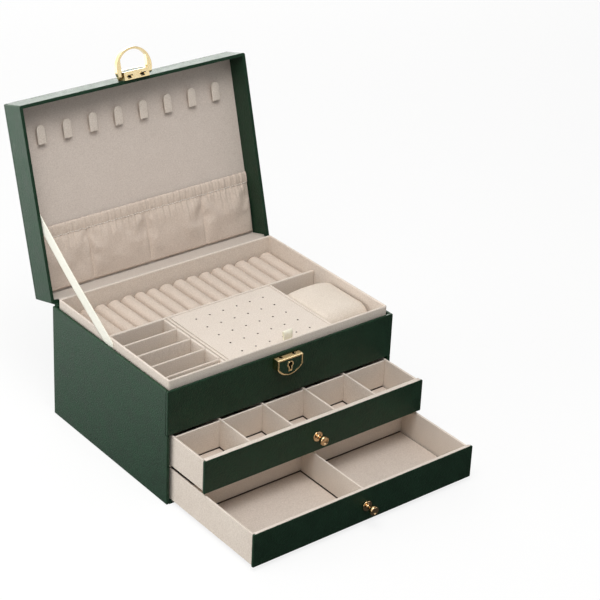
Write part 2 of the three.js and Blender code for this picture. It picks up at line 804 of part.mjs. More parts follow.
// The lid's outer form: eased upright corners, and a padded top that falls away towards its edges.
function lidEnvelope() {
  const corners = rectanglePath(new THREE.Shape(), -halfWidth, halfWidth, lidFrontY, lidBackY, cornerRadius);
  const upright = new THREE.ExtrudeGeometry(corners, {
    depth: lidHeight + overrun * 2,
    bevelEnabled: false,
    curveSegments: 3,
  });
  const plateau = new THREE.Shape();
  plateau.moveTo(-halfWidth + lidCrownReach, lidFrontY + lidCrownReach);
  plateau.lineTo(halfWidth - lidCrownReach, lidFrontY + lidCrownReach);
  plateau.lineTo(halfWidth - lidCrownReach, lidBackY - lidCrownReach);
  plateau.lineTo(-halfWidth + lidCrownReach, lidBackY - lidCrownReach);
  plateau.closePath();
  const crown = new THREE.ExtrudeGeometry(plateau, {
    depth: lidHeight,
    bevelThickness: lidCrownDrop,
    bevelSize: lidCrownReach,
    bevelSegments: 5,
  });
  crown.translate(0, 0, lidRim - lidCrownDrop);
  return common(upright.translate(0, 0, lidRim - overrun), crown);
}

function lidShell() {
  const body = block(-halfWidth, halfWidth, lidFrontY, lidBackY, lidRim, shellTop);
  const hollow = block(
    -innerHalfWidth, innerHalfWidth, lidInnerFront, lidInnerBack, lidRim - overrun, shellCeiling);
  return cut(common(body, lidEnvelope()), hollow);
}

function lidTopFrame() {
  const body = block(
    -halfWidth, halfWidth, lidFrontY, lidBackY, shellTop + seatGap, lidRim + lidHeight);
  const recess = new THREE.Shape();
  rectanglePath(
    recess, -halfWidth + lidSideBorder, halfWidth - lidSideBorder,
    lidFrontY + lidEndBorder, lidBackY - lidEndBorder, recessRadius);
  const opening = new THREE.ExtrudeGeometry(recess, {
    depth: lidHeight, bevelEnabled: false, curveSegments: 2,
  });
  return cut(common(body, lidEnvelope()), opening.translate(0, 0, lidRim + lidHeight / 2));
}

// Diamond quilting: stitch lines cross every pitch, and each diamond swells between them.
function quiltedPad() {
  const reachX = halfWidth - lidSideBorder - padWallGap;
  const reachY = halfDepth - lidEndBorder - padWallGap;
  const stepX = quiltPitchX / 2 / quiltSteps;
  const stepY = quiltPitchY / 2 / quiltSteps;
  const placesTo = (reach, step) => {
    const whole = Math.floor(reach / step - 1e-6);
    const inner = Array.from({ length: 2 * whole + 1 }, (_, i) => (i - whole) * step);
    return [-reach, ...inner, reach];
  };
  const xs = placesTo(reachX, stepX);
  const ys = placesTo(reachY, stepY);
  const phase = (x, y) => {
    const along = x / quiltPitchX + 1 / 2;
    return [along + y / quiltPitchY, along - y / quiltPitchY];
  };
  const swell = (x, y) => {
    const [a, b] = phase(x, y);
    const stitched = Math.abs(Math.sin(Math.PI * a) * Math.sin(Math.PI * b));
    const fromEdge = Math.min(reachX - Math.abs(x), reachY - Math.abs(y));
    const rise = Math.sin(Math.PI / 2 * Math.min(Math.max(fromEdge / quiltHemReach, 0), 1));
    const full = quiltSeamThick + quiltPuff * Math.sqrt(stitched);
    return quiltHemThick + (full - quiltHemThick) * rise;
  };
  const floorZ = shellTop + seatGap;
  const point = (i, j) => new THREE.Vector3(xs[i], lidMiddleY + ys[j], floorZ + swell(xs[i], ys[j]));
  point.slant = (i, j) => {
    const [a, b] = phase((xs[i] + xs[i + 1]) / 2, (ys[j] + ys[j + 1]) / 2);
    const off = (value) => Math.abs(value - Math.round(value));
    return off(a) < off(b);
  };
  return gridSolid(xs.length - 1, ys.length - 1, point, floorZ);
}

function lidLining() {
  const reach = innerHalfWidth - seatGap;
  return block(
    -reach, reach, lidInnerFront + seatGap, lidInnerBack - seatGap, liningFace, liningFace + liningThick);
}

// The velvet strip on the inside of the lid's back wall, its two lower corners cut away.
function lidBackLining() {
  const reach = innerHalfWidth - seatGap;
  const outline = rectanglePath(
    new THREE.Shape(), -reach, reach, lidRim + seatGap, liningFace - backLiningDrop, backLiningDrop);
  const back = lidInnerBack - glueGap * 2;
  return uprightPlate(outline, back - backLiningThick, back, 2);
}

function necklaceHook(x) {
  const foot = lidBackY - hookFootFromHinge;
  const radius = hookWidth / 2;
  const tongue = new THREE.Shape();
  tongue.moveTo(x - radius, foot);
  tongue.lineTo(x - radius, foot - hookLength + radius);
  tongue.absarc(x, foot - hookLength + radius, radius, Math.PI, Math.PI * 2);
  tongue.lineTo(x + radius, foot);
  tongue.closePath();
  const flap = new THREE.ExtrudeGeometry(tongue, { depth: hookThick, bevelEnabled: false, curveSegments: 5 });
  const face = liningFace - seatGap;
  flap.translate(0, 0, face - hookStandOff - hookThick);
  const base = block(
    x - radius, x + radius, foot - hookFoot, foot, face - hookStandOff - hookThick / 2, face);
  return join(flap, base);
}

// Four pockets in one strip of cloth: an elastic header, bellies between three seams, a flat hem.
function lidPocket() {
  const reach = innerHalfWidth - cushionGap * 2;
  const face = liningFace - seatGap;
  const sideSeam = reach - pocketSideWidth;
  const seams = [-reach, -sideSeam, 0, sideSeam, reach];
  const fromSeam = (x) => Math.min(...seams.map((seam) => Math.abs(x - seam)));
  const rowShares = [0, 0.03, 0.16, 0.3, 0.46, 0.62, 0.76, 0.83, 0.94, 1];
  const height = pocketTop - pocketBottom;
  const headerShare = 1 - pocketHeader / height;
  const depthAt = (x, share) => {
    const ruffle = Math.sin(2 * Math.PI * x / pocketGatherPitch);
    if (share <= 0 || share >= 1) return pocketHem;
    if (share >= headerShare) return pocketHeaderThick + pocketGather * ruffle;
    const up = share / headerShare;
    const belly = pocketBelly * Math.sqrt(up) * (1 - up * up / 2);
    const dip = pocketSeamDip * Math.exp(-fromSeam(x) / pocketSeamReach) * Math.sin(Math.PI * up);
    return pocketHem + belly - dip + pocketGather * ruffle * up * up;
  };
  const point = (i, j) => {
    const x = -reach + 2 * reach * i / pocketColumns;
    const share = rowShares[j];
    return new THREE.Vector3(x, pocketBottom - lidBackY + share * height, depthAt(x, share));
  };
  const cloth = gridSolid(pocketColumns, pocketRows, point, 0);
  return cloth.rotateX(Math.PI).translate(0, 0, face);
}

// Leather hinge: one strip, glued to the back of the case and of the lid, that folds along the seam.
function hingeLeatherPiece(y0, y1, z0, z1) {
  const reach = halfWidth - hingeEndInset;
  return block(-reach, reach, y0, y1, z0, z1);
}

// Lock

const lockZ = caseHeight - lockCentreDrop;
const lockTop = lockChord - lockGap;
const claspBottom = lockChord + lockGap;
const lockBackY = -halfDepth - seatGap;
const lockFaceY = lockBackY - lockDepth;
const lockHollowFront = lockFaceY + inlayRecess + lockSkin;
const pegFromBack = (lockBackY - lockHollowFront) / 2;
const boltUpper = lockTop - lockSkin - forkGap;
const boltLower = boltUpper - boltThick;
const pegTip = boltLower - forkGap - pegHead;

// A disc cut off flat at its top and straight down both sides.
function lockPlate(halfSpan, radius, top, y0, y1) {
  const corner = Math.sqrt(radius * radius - halfSpan * halfSpan);
  const angle = Math.atan2(corner, halfSpan);
  const outline = new THREE.Shape();
  outline.moveTo(-halfSpan, top);
  outline.lineTo(halfSpan, top);
  outline.lineTo(halfSpan, -corner);
  outline.absarc(0, 0, radius, -angle, angle - Math.PI, true);
  outline.closePath();
  return uprightPlate(outline, y0, y1);
}

function keyholeTool(grow, y0, y1) {
  const radius = keyholeRadius + grow;
  const slot = keyholeSlotWidth / 2 + grow;
  return join(
    rodAlongY(radius, 0, -keyholeDrop, y0, y1, smallSides),
    block(-slot, slot, y0, y1, -keyholeDrop - keyholeSlotLength - grow, -keyholeDrop));
}

// Lower half: a hollow D, open at its back, with two peg holes in its flat top and the keyhole in front.
function lockCase() {
  const body = lockPlate(lockHalfWidth, lockLowerRadius, lockTop, lockFaceY, lockBackY);
  const hollow = lockPlate(
    lockHalfWidth - lockSkin, lockLowerRadius - lockSkin, lockTop - lockSkin,
    lockHollowFront, lockBackY + overrun);
  const recess = lockPlate(
    lockHalfWidth - inlayInset, lockLowerRadius - inlayInset, lockTop - inlayInset,
    lockFaceY - overrun, lockFaceY + inlayRecess);
  const pegHoles = [-1, 1].map((side) => rodAlongZ(
    pegHoleRadius, side * pegSpread, lockBackY - pegFromBack, boltUpper, overrun, smallSides));
  return cut(body, hollow, recess, ...pegHoles, keyholeTool(0, lockFaceY - overrun, lockBackY));
}

function lockInlay() {
  const inset = inlayInset + inlayGap;
  const face = lockFaceY + inlayRecess - glueGap;
  const inlay = lockPlate(
    lockHalfWidth - inset, lockLowerRadius - inset, lockTop - inset, face - inlayThick, face);
  return cut(inlay, keyholeTool(escutcheonBand + inlayGap, face - overrun, face + overrun));
}

function keyholeEscutcheon() {
  const face = lockFaceY + inlayRecess - glueGap;
  return cut(
    keyholeTool(escutcheonBand, face - escutcheonThick, face),
    keyholeTool(0, face - overrun, face + overrun));
}

// The key turns this cam; its pin pushes the bolt sideways, over the heads of the two pegs.
const camFront = lockHollowFront + forkGap;
const camBack = camFront + camThick;
const pinBack = lockBackY - forkGap;
const boltTravel = camPinOffset * Math.sin(radians(camTurnDegrees));

function keyCam() {
  const disc = rodAlongY(camRadius, 0, -keyholeDrop, camFront, camBack);
  const pin = rodAlongY(camPinRadius, 0, -keyholeDrop + camPinOffset, camBack - glueGap, pinBack, smallSides);
  const keySlot = block(
    -keyholeSlotWidth / 2, keyholeSlotWidth / 2, camFront - overrun, camBack + overrun,
    -keyholeDrop - camRadius / 2, -keyholeDrop);
  return cut(join(disc, pin), keySlot);
}

function lockBolt() {
  const middleY = lockBackY - pegFromBack;
  const slotReach = boltTravel + pegNeckRadius + forkGap;
  const plate = block(
    -pegSpread - slotReach - forkWall, pegSpread + boltPegHole + forkWall,
    middleY - boltHalfWidth, middleY + boltHalfWidth, boltLower, boltUpper);
  const prongInner = camPinRadius + forkGap;
  const prongs = [-1, 1].map((side) => block(
    Math.min(side * prongInner, side * (prongInner + forkWall)),
    Math.max(side * prongInner, side * (prongInner + forkWall)),
    camBack + forkGap, middleY + boltHalfWidth,
    -keyholeDrop + camPinOffset - forkReach, boltLower + glueGap));
  const holes = [-1, 1].flatMap((side) => [
    rodAlongZ(
      boltPegHole, side * pegSpread, middleY, boltLower - overrun, boltUpper + overrun, smallSides),
    block(
      side * pegSpread - slotReach, side * pegSpread, middleY - boltPegSlot, middleY + boltPegSlot,
      boltLower - overrun, boltUpper + overrun),
  ]);
  return cut(join(plate, ...prongs), ...holes);
}

// Upper half, on the lid: a rounder head over narrower cheeks, two headed pegs under its flat edge.
const claspBackY = lidFrontY - seatGap;
const claspFaceY = claspBackY - lockDepth;
const claspPegY = claspBackY - pegFromBack;

function claspCase() {
  const disc = rodAlongY(lockUpperRadius, 0, 0, claspFaceY, claspBackY, largeSides);
  const upperDisc = cut(disc, block(
    -overrun - lockUpperRadius, overrun + lockUpperRadius, claspFaceY - overrun, claspBackY + overrun,
    -overrun - lockUpperRadius, lockShoulder));
  const cheeks = block(
    -lockHalfWidth, lockHalfWidth, claspFaceY, claspBackY, claspBottom, lockShoulder + lockGap);
  const recess = common(
    rodAlongY(
      lockUpperRadius - claspInlayInset, 0, 0, claspFaceY - overrun, claspFaceY + inlayRecess, largeSides),
    block(
      -lockHalfWidth + inlayInset, lockHalfWidth - inlayInset, claspFaceY - overrun,
      claspFaceY + inlayRecess, claspBottom + inlayInset, lockUpperRadius));
  const slots = [-1, 1].map((side) => block(
    side * pegSpread - pegSlotLength / 2, side * pegSpread + pegSlotLength / 2,
    claspPegY - pegSlotWidth / 2, claspPegY + pegSlotWidth / 2,
    claspBottom - overrun, claspBottom + pegSlotDepth));
  const pegs = [-1, 1].flatMap((side) => [
    rodAlongZ(
      pegNeckRadius, side * pegSpread, claspPegY, pegTip + pegHead / 2,
      claspBottom + pegSlotDepth + lockGap, smallSides),
    rodAlongZ(pegRadius, side * pegSpread, claspPegY, pegTip, pegTip + pegHead, smallSides),
  ]);
  const pinHoles = [-1, 1].map((side) => rodAlongX(
    bailPinRadius + bailPinGap, bailPivotY, bailPivotRise,
    Math.min(side * (lockHalfWidth - bailPinReach - bailPinGap), side * (lockHalfWidth + overrun)),
    Math.max(side * (lockHalfWidth - bailPinReach - bailPinGap), side * (lockHalfWidth + overrun)),
    smallSides));
  const body = cut(join(upperDisc, cheeks), recess, ...slots, ...pinHoles);
  return join(body, ...pegs);
}

function claspInlay() {
  const inset = inlayInset + inlayGap;
  const face = claspFaceY + inlayRecess - glueGap;
  return common(
    rodAlongY(lockUpperRadius - claspInlayInset - inlayGap, 0, 0, face - inlayThick, face, largeSides),
    block(
      -lockHalfWidth + inset, lockHalfWidth - inset, face - overrun, face + overrun,
      claspBottom + inset, lockUpperRadius));
}

const bailPivotY = claspBackY - bailStandOff - bailThick / 2;

// The bail closes round the lower half: a band below, a webbed arm and a pin lug on each side.
function bailRing() {
  const front = -bailThick / 2;
  const back = bailThick / 2;
  const drop = -bailPivotRise;
  const outer = rodAlongY(bailRadius, 0, drop, front, back, largeSides);
  const armTop = block(
    -bailRadius - overrun, bailRadius + overrun, front - overrun, back + overrun,
    0, bailRadius + overrun);
  const lower = cut(outer, armTop);
  const corner = Math.sqrt((bailRadius - bailBand) ** 2 - bailInnerHalf ** 2);
  const innerDisc = common(
    rodAlongY(bailRadius - bailBand, 0, drop, front - overrun, back + overrun, largeSides),
    block(
      -bailInnerHalf, bailInnerHalf, front - overrun, back + overrun,
      drop - bailRadius, bailRadius));
  const innerTop = block(
    -bailInnerHalf, bailInnerHalf, front - overrun, back + overrun, drop - corner, bailRadius);
  const lugOuter = Math.sqrt(bailRadius ** 2 - bailPivotRise ** 2) - glueGap;
  const lugs = [-1, 1].map((side) => rodAlongX(
    bailThick / 2, 0, 0, Math.min(side * bailInnerHalf, side * lugOuter),
    Math.max(side * bailInnerHalf, side * lugOuter)));
  const pins = [-1, 1].map((side) => rodAlongX(
    bailPinRadius, 0, 0,
    Math.min(side * (lockHalfWidth - bailPinReach), side * (bailInnerHalf + bailLegBand)),
    Math.max(side * (lockHalfWidth - bailPinReach), side * (bailInnerHalf + bailLegBand)), smallSides));
  const pocketBlock = cut(
    common(
      rodAlongY(bailRadius - bailLegBand, 0, drop, front - overrun, back - bailWebThick, largeSides),
      block(
        -bailRadius, bailRadius, front - overrun, back - bailWebThick, drop - corner, -bailThick / 2)),
    block(
      -bailInnerHalf - bailLegBand, bailInnerHalf + bailLegBand, front - overrun * 2, back + overrun,
      drop - bailRadius, bailRadius));
  return join(cut(lower, innerDisc, innerTop, pocketBlock), ...lugs, ...pins);
}

function addLock(box) {
  const lock = new THREE.Group();
  lock.position.z = lockZ;
  addPiece(lock, 'lock_case', lockCase(), 'gold');
  addPiece(lock, 'lock_inlay', lockInlay(), 'leatherette');
  addPiece(lock, 'keyhole_escutcheon', keyholeEscutcheon(), 'gold');
  addPiece(lock, 'lock_bolt', lockBolt(), 'steel');
  addPiece(lock, 'key_cam', keyCam(), 'steel');
  box.add(lock);
}

function addLid(box) {
  const lid = new THREE.Group();
  lid.position.set(0, hingeY, hingeZ);
  lid.rotation.x = -radians(lidOpenDegrees);
  addPiece(lid, 'lid_shell', lidShell(), 'leatherette');
  addPiece(lid, 'lid_top_frame', lidTopFrame(), 'leatherette');
  addPiece(lid, 'quilted_pad', quiltedPad(), 'leatherette');
  addPiece(lid, 'lid_lining', lidLining(), 'velvet');
  addPiece(lid, 'lid_back_lining', lidBackLining(), 'velvet');
  const hookPitch = 2 * (innerHalfWidth - hookEndMargin) / (hookCount - 1);
  for (let i = 0; i < hookCount; i++) {
    const x = (i - (hookCount - 1) / 2) * hookPitch;
    addPiece(lid, `necklace_hook_${i + 1}`, necklaceHook(x), 'velvet');
  }
  addPiece(lid, 'lid_pocket', lidPocket(), 'velvet');
  addPiece(lid, 'hinge_leather_lid', hingeLeatherPiece(
    lidBackY + glueGap * 2, 0, lidRim, lidRim + hingeFlap), 'leatherette');

  const clasp = new THREE.Group();
  clasp.position.z = lockZ - hingeZ;
  addPiece(clasp, 'clasp_case', claspCase(), 'gold');
  addPiece(clasp, 'clasp_inlay', claspInlay(), 'leatherette');
  const bail = new THREE.Group();
  bail.position.set(0, bailPivotY, bailPivotRise);
  bail.rotation.x = -radians(bailOpenDegrees);
  addPiece(bail, 'bail_ring', bailRing(), 'gold');
  clasp.add(bail);
  lid.add(clasp);
  box.add(lid);
}

// The ribbon that stops the lid: tucked down beside the tray at one end, glued in the lid at the other.
function stayRibbon() {
  const open = radians(lidOpenDegrees);
  const lidY = lidBackY - ribbonLidFromHinge;
  const lidZ = ribbonLidHeight;
  const end = new THREE.Vector2(
    hingeY + lidY * Math.cos(open) + lidZ * Math.sin(open),
    hingeZ - lidY * Math.sin(open) + lidZ * Math.cos(open));
  const start = new THREE.Vector2(ribbonCaseY, caseHeight);
  const along = end.clone().sub(start);
  const across = new THREE.Vector2(-along.y, along.x).normalize();
  const tuck = new THREE.Vector2(ribbonCaseY, caseHeight - ribbonTuck);
  const centres = [];
  for (let i = 0; i <= ribbonSteps; i++) {
    const share = i / ribbonSteps;
    const sag = across.clone().multiplyScalar(-ribbonSag * Math.sin(Math.PI * share));
    centres.push(start.clone().addScaledVector(along, share).add(sag));
  }
  const half = ribbonWidth / 2;
  const upper = centres.map((p) => p.clone().addScaledVector(across, half));
  const lower = centres.map((p) => p.clone().addScaledVector(across, -half));
  const outline = new THREE.Shape();
  outline.moveTo(tuck.x - half, tuck.y);
  outline.lineTo(tuck.x + half, tuck.y);
  lower.forEach((p) => outline.lineTo(p.x, p.y));
  upper.reverse().forEach((p) => outline.lineTo(p.x, p.y));
  outline.closePath();
  const ribbon = new THREE.ExtrudeGeometry(outline, { depth: ribbonThick, bevelEnabled: false });
  ribbon.rotateX(Math.PI / 2).rotateZ(Math.PI / 2);
  return ribbon.translate(-innerHalfWidth + (traySideGap - ribbonThick) / 2, 0, 0);
}

const jewelryBox = new THREE.Group();
addCase(jewelryBox);
addTray(jewelryBox);
addSoftFittings(jewelryBox);
addDrawer(jewelryBox, 'upper_drawer', drawerLayout(false), upperPull);
addDrawer(jewelryBox, 'lower_drawer', drawerLayout(true), lowerPull);
addLock(jewelryBox);
addLid(jewelryBox);
addPiece(jewelryBox, 'hinge_leather_case', hingeLeatherPiece(
  halfDepth + glueGap, hingeY, caseHeight - hingeFlap, caseHeight), 'leatherette');
addPiece(jewelryBox, 'stay_ribbon', stayRibbon(), 'satin');

export default jewelryBox;
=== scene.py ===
import json
import math

import bmesh
import bpy
import numpy as np
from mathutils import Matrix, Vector, noise


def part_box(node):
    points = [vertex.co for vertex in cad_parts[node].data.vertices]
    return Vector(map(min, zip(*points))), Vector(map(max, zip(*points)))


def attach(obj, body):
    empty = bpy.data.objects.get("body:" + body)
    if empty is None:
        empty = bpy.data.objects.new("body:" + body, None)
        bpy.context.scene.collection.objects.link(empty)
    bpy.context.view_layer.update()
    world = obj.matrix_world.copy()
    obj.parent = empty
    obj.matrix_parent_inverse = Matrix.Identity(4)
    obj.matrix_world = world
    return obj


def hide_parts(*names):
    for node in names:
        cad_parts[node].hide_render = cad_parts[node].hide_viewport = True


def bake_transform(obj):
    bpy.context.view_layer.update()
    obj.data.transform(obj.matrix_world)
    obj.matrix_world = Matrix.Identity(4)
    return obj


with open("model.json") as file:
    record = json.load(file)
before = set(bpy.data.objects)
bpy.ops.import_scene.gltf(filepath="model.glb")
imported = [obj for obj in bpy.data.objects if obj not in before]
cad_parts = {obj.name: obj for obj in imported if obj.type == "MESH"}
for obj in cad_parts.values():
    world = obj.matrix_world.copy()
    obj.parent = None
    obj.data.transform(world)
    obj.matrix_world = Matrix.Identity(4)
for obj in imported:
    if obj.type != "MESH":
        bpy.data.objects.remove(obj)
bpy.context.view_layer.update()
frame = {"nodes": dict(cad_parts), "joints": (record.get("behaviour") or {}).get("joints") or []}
scene = bpy.context.scene
nodes = frame["nodes"]

# ---- Room: a pale floor without an edge, and soft white light from above, from the left and from behind.
# The camera stands where the photographer stood for the open box, to the left and above.
# Floor and surroundings look white to the camera; the floor keeps the soft shadow under the box.

MM = 0.001
WHITE = (1, 1, 1, 1)
FLOOR_REACH, FLOOR_DROP = 4.0, 0.2 * MM
FLOOR_GLOW, SKY_LIGHT = 0.82, 0.36
BRIGHT_SIDE = (-0.6, 0.8, 0.0)


def srgb(text):
    """A colour written as RRGGBB, turned to the linear values that shaders take."""
    shares = [int(text[i:i + 2], 16) / 255 for i in (0, 2, 4)]
    linear = [s / 12.92 if s <= 0.04045 else ((s + 0.055) / 1.055) ** 2.4 for s in shares]
    return (*linear, 1.0)


def node(tree, kind, sockets=None, **settings):
    """Adds one node. Each socket takes a plain value, or another node's output, which is linked."""
    made = tree.nodes.new(kind)
    for name, value in settings.items():
        setattr(made, name, value)
    for socket, value in (sockets or {}).items():
        if isinstance(value, bpy.types.NodeSocket):
            tree.links.new(value, made.inputs[socket])
        else:
            made.inputs[socket].default_value = value
    return made


def new_material(name):
    """An empty material, its node tree, and the place on the piece, in metres."""
    material = bpy.data.materials.new(name)
    material.use_nodes = True
    tree = material.node_tree
    tree.nodes.clear()
    return material, tree, node(tree, "ShaderNodeTexCoord").outputs["Object"]


def grain(tree, place, scale, detail, roughness=0.5):
    """Noise, with its scale in grains per metre."""
    sockets = {"Vector": place, "Scale": scale, "Detail": detail, "Roughness": roughness}
    return node(tree, "ShaderNodeTexNoise", sockets).outputs["Fac"]


def ranged(tree, value, low, high, to_low=0.0, to_high=1.0, **settings):
    """Spreads the values between low and high over another range."""
    sockets = {"Value": value, "From Min": low, "From Max": high, "To Min": to_low, "To Max": to_high}
    return node(tree, "ShaderNodeMapRange", sockets, **settings).outputs[0]


def tint(tree, share, first, second):
    """A colour that runs from the first to the second as the share goes from 0 to 1."""
    sockets = {0: share, 6: srgb(first), 7: srgb(second)}
    return node(tree, "ShaderNodeMix", sockets, data_type="RGBA").outputs[2]


def either(tree, share, first, second):
    return node(tree, "ShaderNodeMixShader", {0: share, 1: first.outputs[0], 2: second.outputs[0]})


def gloss_light(tree, place, low, high, dark, bright, **settings):
    """How bright the room looks in gloss: it grows towards the bright side."""
    along = node(tree, "ShaderNodeVectorMath", {0: place, 1: BRIGHT_SIDE}, operation="DOT_PRODUCT")
    return ranged(tree, along.outputs["Value"], low, high, dark, bright, **settings)


def add_object(name, data):
    made = bpy.data.objects.new(name, data)
    scene.collection.objects.link(made)
    return made


def smooth_object(name, mesh):
    for face in mesh.polygons:
        face.use_smooth = True
    return add_object(name, mesh)


def mesh_object(name, points, faces):
    mesh = bpy.data.meshes.new(name)
    mesh.from_pydata([tuple(p) for p in points], [], faces)
    mesh.validate()
    return smooth_object(name, mesh)


def softbox(name, place, aim, width, height, power, gloss_only=False):
    lamp = bpy.data.lights.new(name, "AREA")
    lamp.shape = "RECTANGLE"
    lamp.size, lamp.size_y, lamp.energy = width, height, power
    made = add_object(name, lamp)
    made.location = place
    made.rotation_mode = "QUATERNION"
    made.rotation_quaternion = (Vector(aim) - Vector(place)).to_track_quat("-Z", "Y")
    made.visible_camera = False
    made.visible_diffuse = not gloss_only


corners = [(x * FLOOR_REACH, y * FLOOR_REACH, -FLOOR_DROP) for x, y in ((-1, -1), (1, -1), (1, 1), (-1, 1))]
floor = mesh_object("floor", corners, [(0, 1, 2, 3)])
paper, tree, place = new_material("matt_white_paper")
path = node(tree, "ShaderNodeLightPath").outputs
fibres = tint(tree, grain(tree, place, 900.0, 1.0), "F4F3F0", "FBFAF8")
matt = node(tree, "ShaderNodeBsdfDiffuse", {"Color": fibres})
dusky = node(tree, "ShaderNodeBsdfDiffuse", {"Color": srgb("B6B6B4")})
glow = node(tree, "ShaderNodeEmission", {"Color": WHITE, "Strength": 1.0})
seen = either(tree, path["Is Camera Ray"], dusky, either(tree, FLOOR_GLOW, matt, glow))
# In gloss the floor runs from bright at the left and back to dark at the front and right.
strength = gloss_light(tree, place, -0.1, 0.9, 0.06, 2.3)
mirrored = node(tree, "ShaderNodeEmission", {"Color": WHITE, "Strength": strength})
both = either(tree, path["Is Glossy Ray"], seen, mirrored)
node(tree, "ShaderNodeOutputMaterial", {"Surface": both.outputs[0]})
floor.data.materials.append(paper)

scene.world = world = bpy.data.worlds.new("white_surroundings")
world.use_nodes = True
tree = world.node_tree
tree.nodes.clear()
path = node(tree, "ShaderNodeLightPath").outputs
heading = node(tree, "ShaderNodeTexCoord").outputs["Generated"]
strength = gloss_light(tree, heading, -0.5, 0.8, 0.12, 1.7, interpolation_type="SMOOTHSTEP")
soft = node(tree, "ShaderNodeBackground", {"Color": srgb("F3F6FA"), "Strength": SKY_LIGHT})
gloss = node(tree, "ShaderNodeBackground", {"Color": srgb("FFFEF6"), "Strength": strength})
white = node(tree, "ShaderNodeBackground", {"Color": WHITE, "Strength": 1.0})
unseen = either(tree, path["Is Glossy Ray"], soft, gloss)
both = either(tree, path["Is Camera Ray"], unseen, white)
node(tree, "ShaderNodeOutputWorld", {"Surface": both.outputs[0]})

softbox("softbox_above", (-0.42, -0.45, 1.65), (0, 0, 0.1), 1.2, 1.0, 22.0)
softbox("softbox_left", (-1.6, 0.55, 0.55), (0, 0, 0.1), 1.2, 0.9, 13.0)
softbox("softbox_behind", (0.9, 1.9, 0.42), (0, 0, 0.15), 2.4, 0.8, 22.0)
# Two white cards only show in gloss, for the polished metal to mirror.
softbox("card_in_front", (1.0, -1.4, 0.22), (0, 0.1, 0.3), 1.3, 0.7, 3.0, gloss_only=True)
softbox("card_at_the_right", (1.25, 1.45, 1.2), (0, 0, 0.1), 0.9, 0.9, 5.5, gloss_only=True)

optics = bpy.data.cameras.new("camera")
camera = add_object("camera", optics)
camera.location = (-0.951680, -1.266986, 0.974968)
camera.rotation_euler = (1.113806, -0.026800, -0.637880)
optics.sensor_width = 36.0
optics.lens = 113.9076
optics.shift_x = 0.105533
optics.shift_y = -0.106204
optics.clip_start, optics.clip_end = 0.05, 20.0
scene.camera = camera
scene.view_settings.view_transform = "Standard"

# ---- Case: grey board wrapped in dark green leatherette, an embossed PU skin with a fine pebble grain.
# Boards are glued at the corners; floor, two sides, back and the fascia over the drawers stay as in CAD.
# A smooth shade over the eased edges makes the wrapped skin turn softly round each board.

GREEN_DEEP, GREEN_RAISED = "102318", "1D3A29"
SHARP_ABOVE = math.radians(58)


def surface(tree, sockets):
    skin = node(tree, "ShaderNodeBsdfPrincipled", sockets)
    node(tree, "ShaderNodeOutputMaterial", {"Surface": skin.outputs[0]})


def relief(tree, height, strength, depth, **settings):
    sockets = {"Height": height, "Strength": strength, "Distance": depth}
    return node(tree, "ShaderNodeBump", sockets, **settings).outputs[0]


def weighted_sum(tree, value, weight, other):
    return node(tree, "ShaderNodeMath", {0: value, 1: weight, 2: other}, operation="MULTIPLY_ADD").outputs[0]


def leather_material(name, deep, raised):
    """Polyurethane leatherette, embossed, satin gloss; pebbles drawn 1.3 mm across so that they show."""
    material, tree, place = new_material(name)
    pebble = node(tree, "ShaderNodeTexVoronoi", {"Vector": place, "Scale": 780.0}).outputs["Distance"]
    cloud = grain(tree, place, 60.0, 3.0, 0.7)
    speck = grain(tree, place, 620.0, 2.0, 0.8)
    share = ranged(tree, weighted_sum(tree, speck, 1.5, cloud), 0.85, 1.65)
    surface(tree, {
        "Base Color": tint(tree, share, deep, raised), "Roughness": ranged(tree, cloud, 0.3, 0.7, 0.42, 0.52),
        "Normal": relief(tree, pebble, 1.0, 0.0003, invert=True),
        "Specular IOR Level": 0.36, "Specular Tint": srgb("D9FFDC")})
    return material


def new_group(name, inputs):
    """A geometry node group that changes a mesh, and the outputs of its input node."""
    group = bpy.data.node_groups.new(name, "GeometryNodeTree")
    for label, kind in {"Geometry": "Geometry", **inputs}.items():
        group.interface.new_socket(label, in_out="INPUT", socket_type=f"NodeSocket{kind}")
    group.interface.new_socket("Geometry", in_out="OUTPUT", socket_type="NodeSocketGeometry")
    return group, node(group, "NodeGroupInput").outputs


def run_group(piece, name, group, values):
    """Adds a node group to a piece as a modifier, with a value for each named input."""
    tool = piece.modifiers.new(name, "NODES")
    tool.node_group = group
    for socket in group.interface.items_tree:
        if socket.in_out == "INPUT" and socket.name in values:
            tool[socket.identifier] = values[socket.name]


def bevel_edges(piece, name, width, segments, above):
    worn = piece.modifiers.new(name, "BEVEL")
    worn.width, worn.segments = width, segments
    worn.limit_method, worn.angle_limit = "ANGLE", math.radians(above)


leatherette = leather_material("green_pu_leatherette_embossed", GREEN_DEEP, GREEN_RAISED)

rounding, given = new_group("smooth_over_eased_edges", {"Sharp above": "Float"})
merged = node(rounding, "GeometryNodeMergeByDistance", {"Geometry": given["Geometry"], "Distance": 0.00001})
angle = node(rounding, "GeometryNodeInputMeshEdgeAngle").outputs["Unsigned Angle"]
gentle = node(rounding, "FunctionNodeCompare", {"A": angle, "B": given["Sharp above"]},
              operation="LESS_THAN", data_type="FLOAT")
faces = node(rounding, "GeometryNodeSetShadeSmooth", {
    "Geometry": merged.outputs[0], "Shade Smooth": True}, domain="FACE")
edges = node(rounding, "GeometryNodeSetShadeSmooth", {
    "Geometry": faces.outputs[0], "Shade Smooth": gentle.outputs[0]}, domain="EDGE")
node(rounding, "NodeGroupOutput", {"Geometry": edges.outputs[0]})


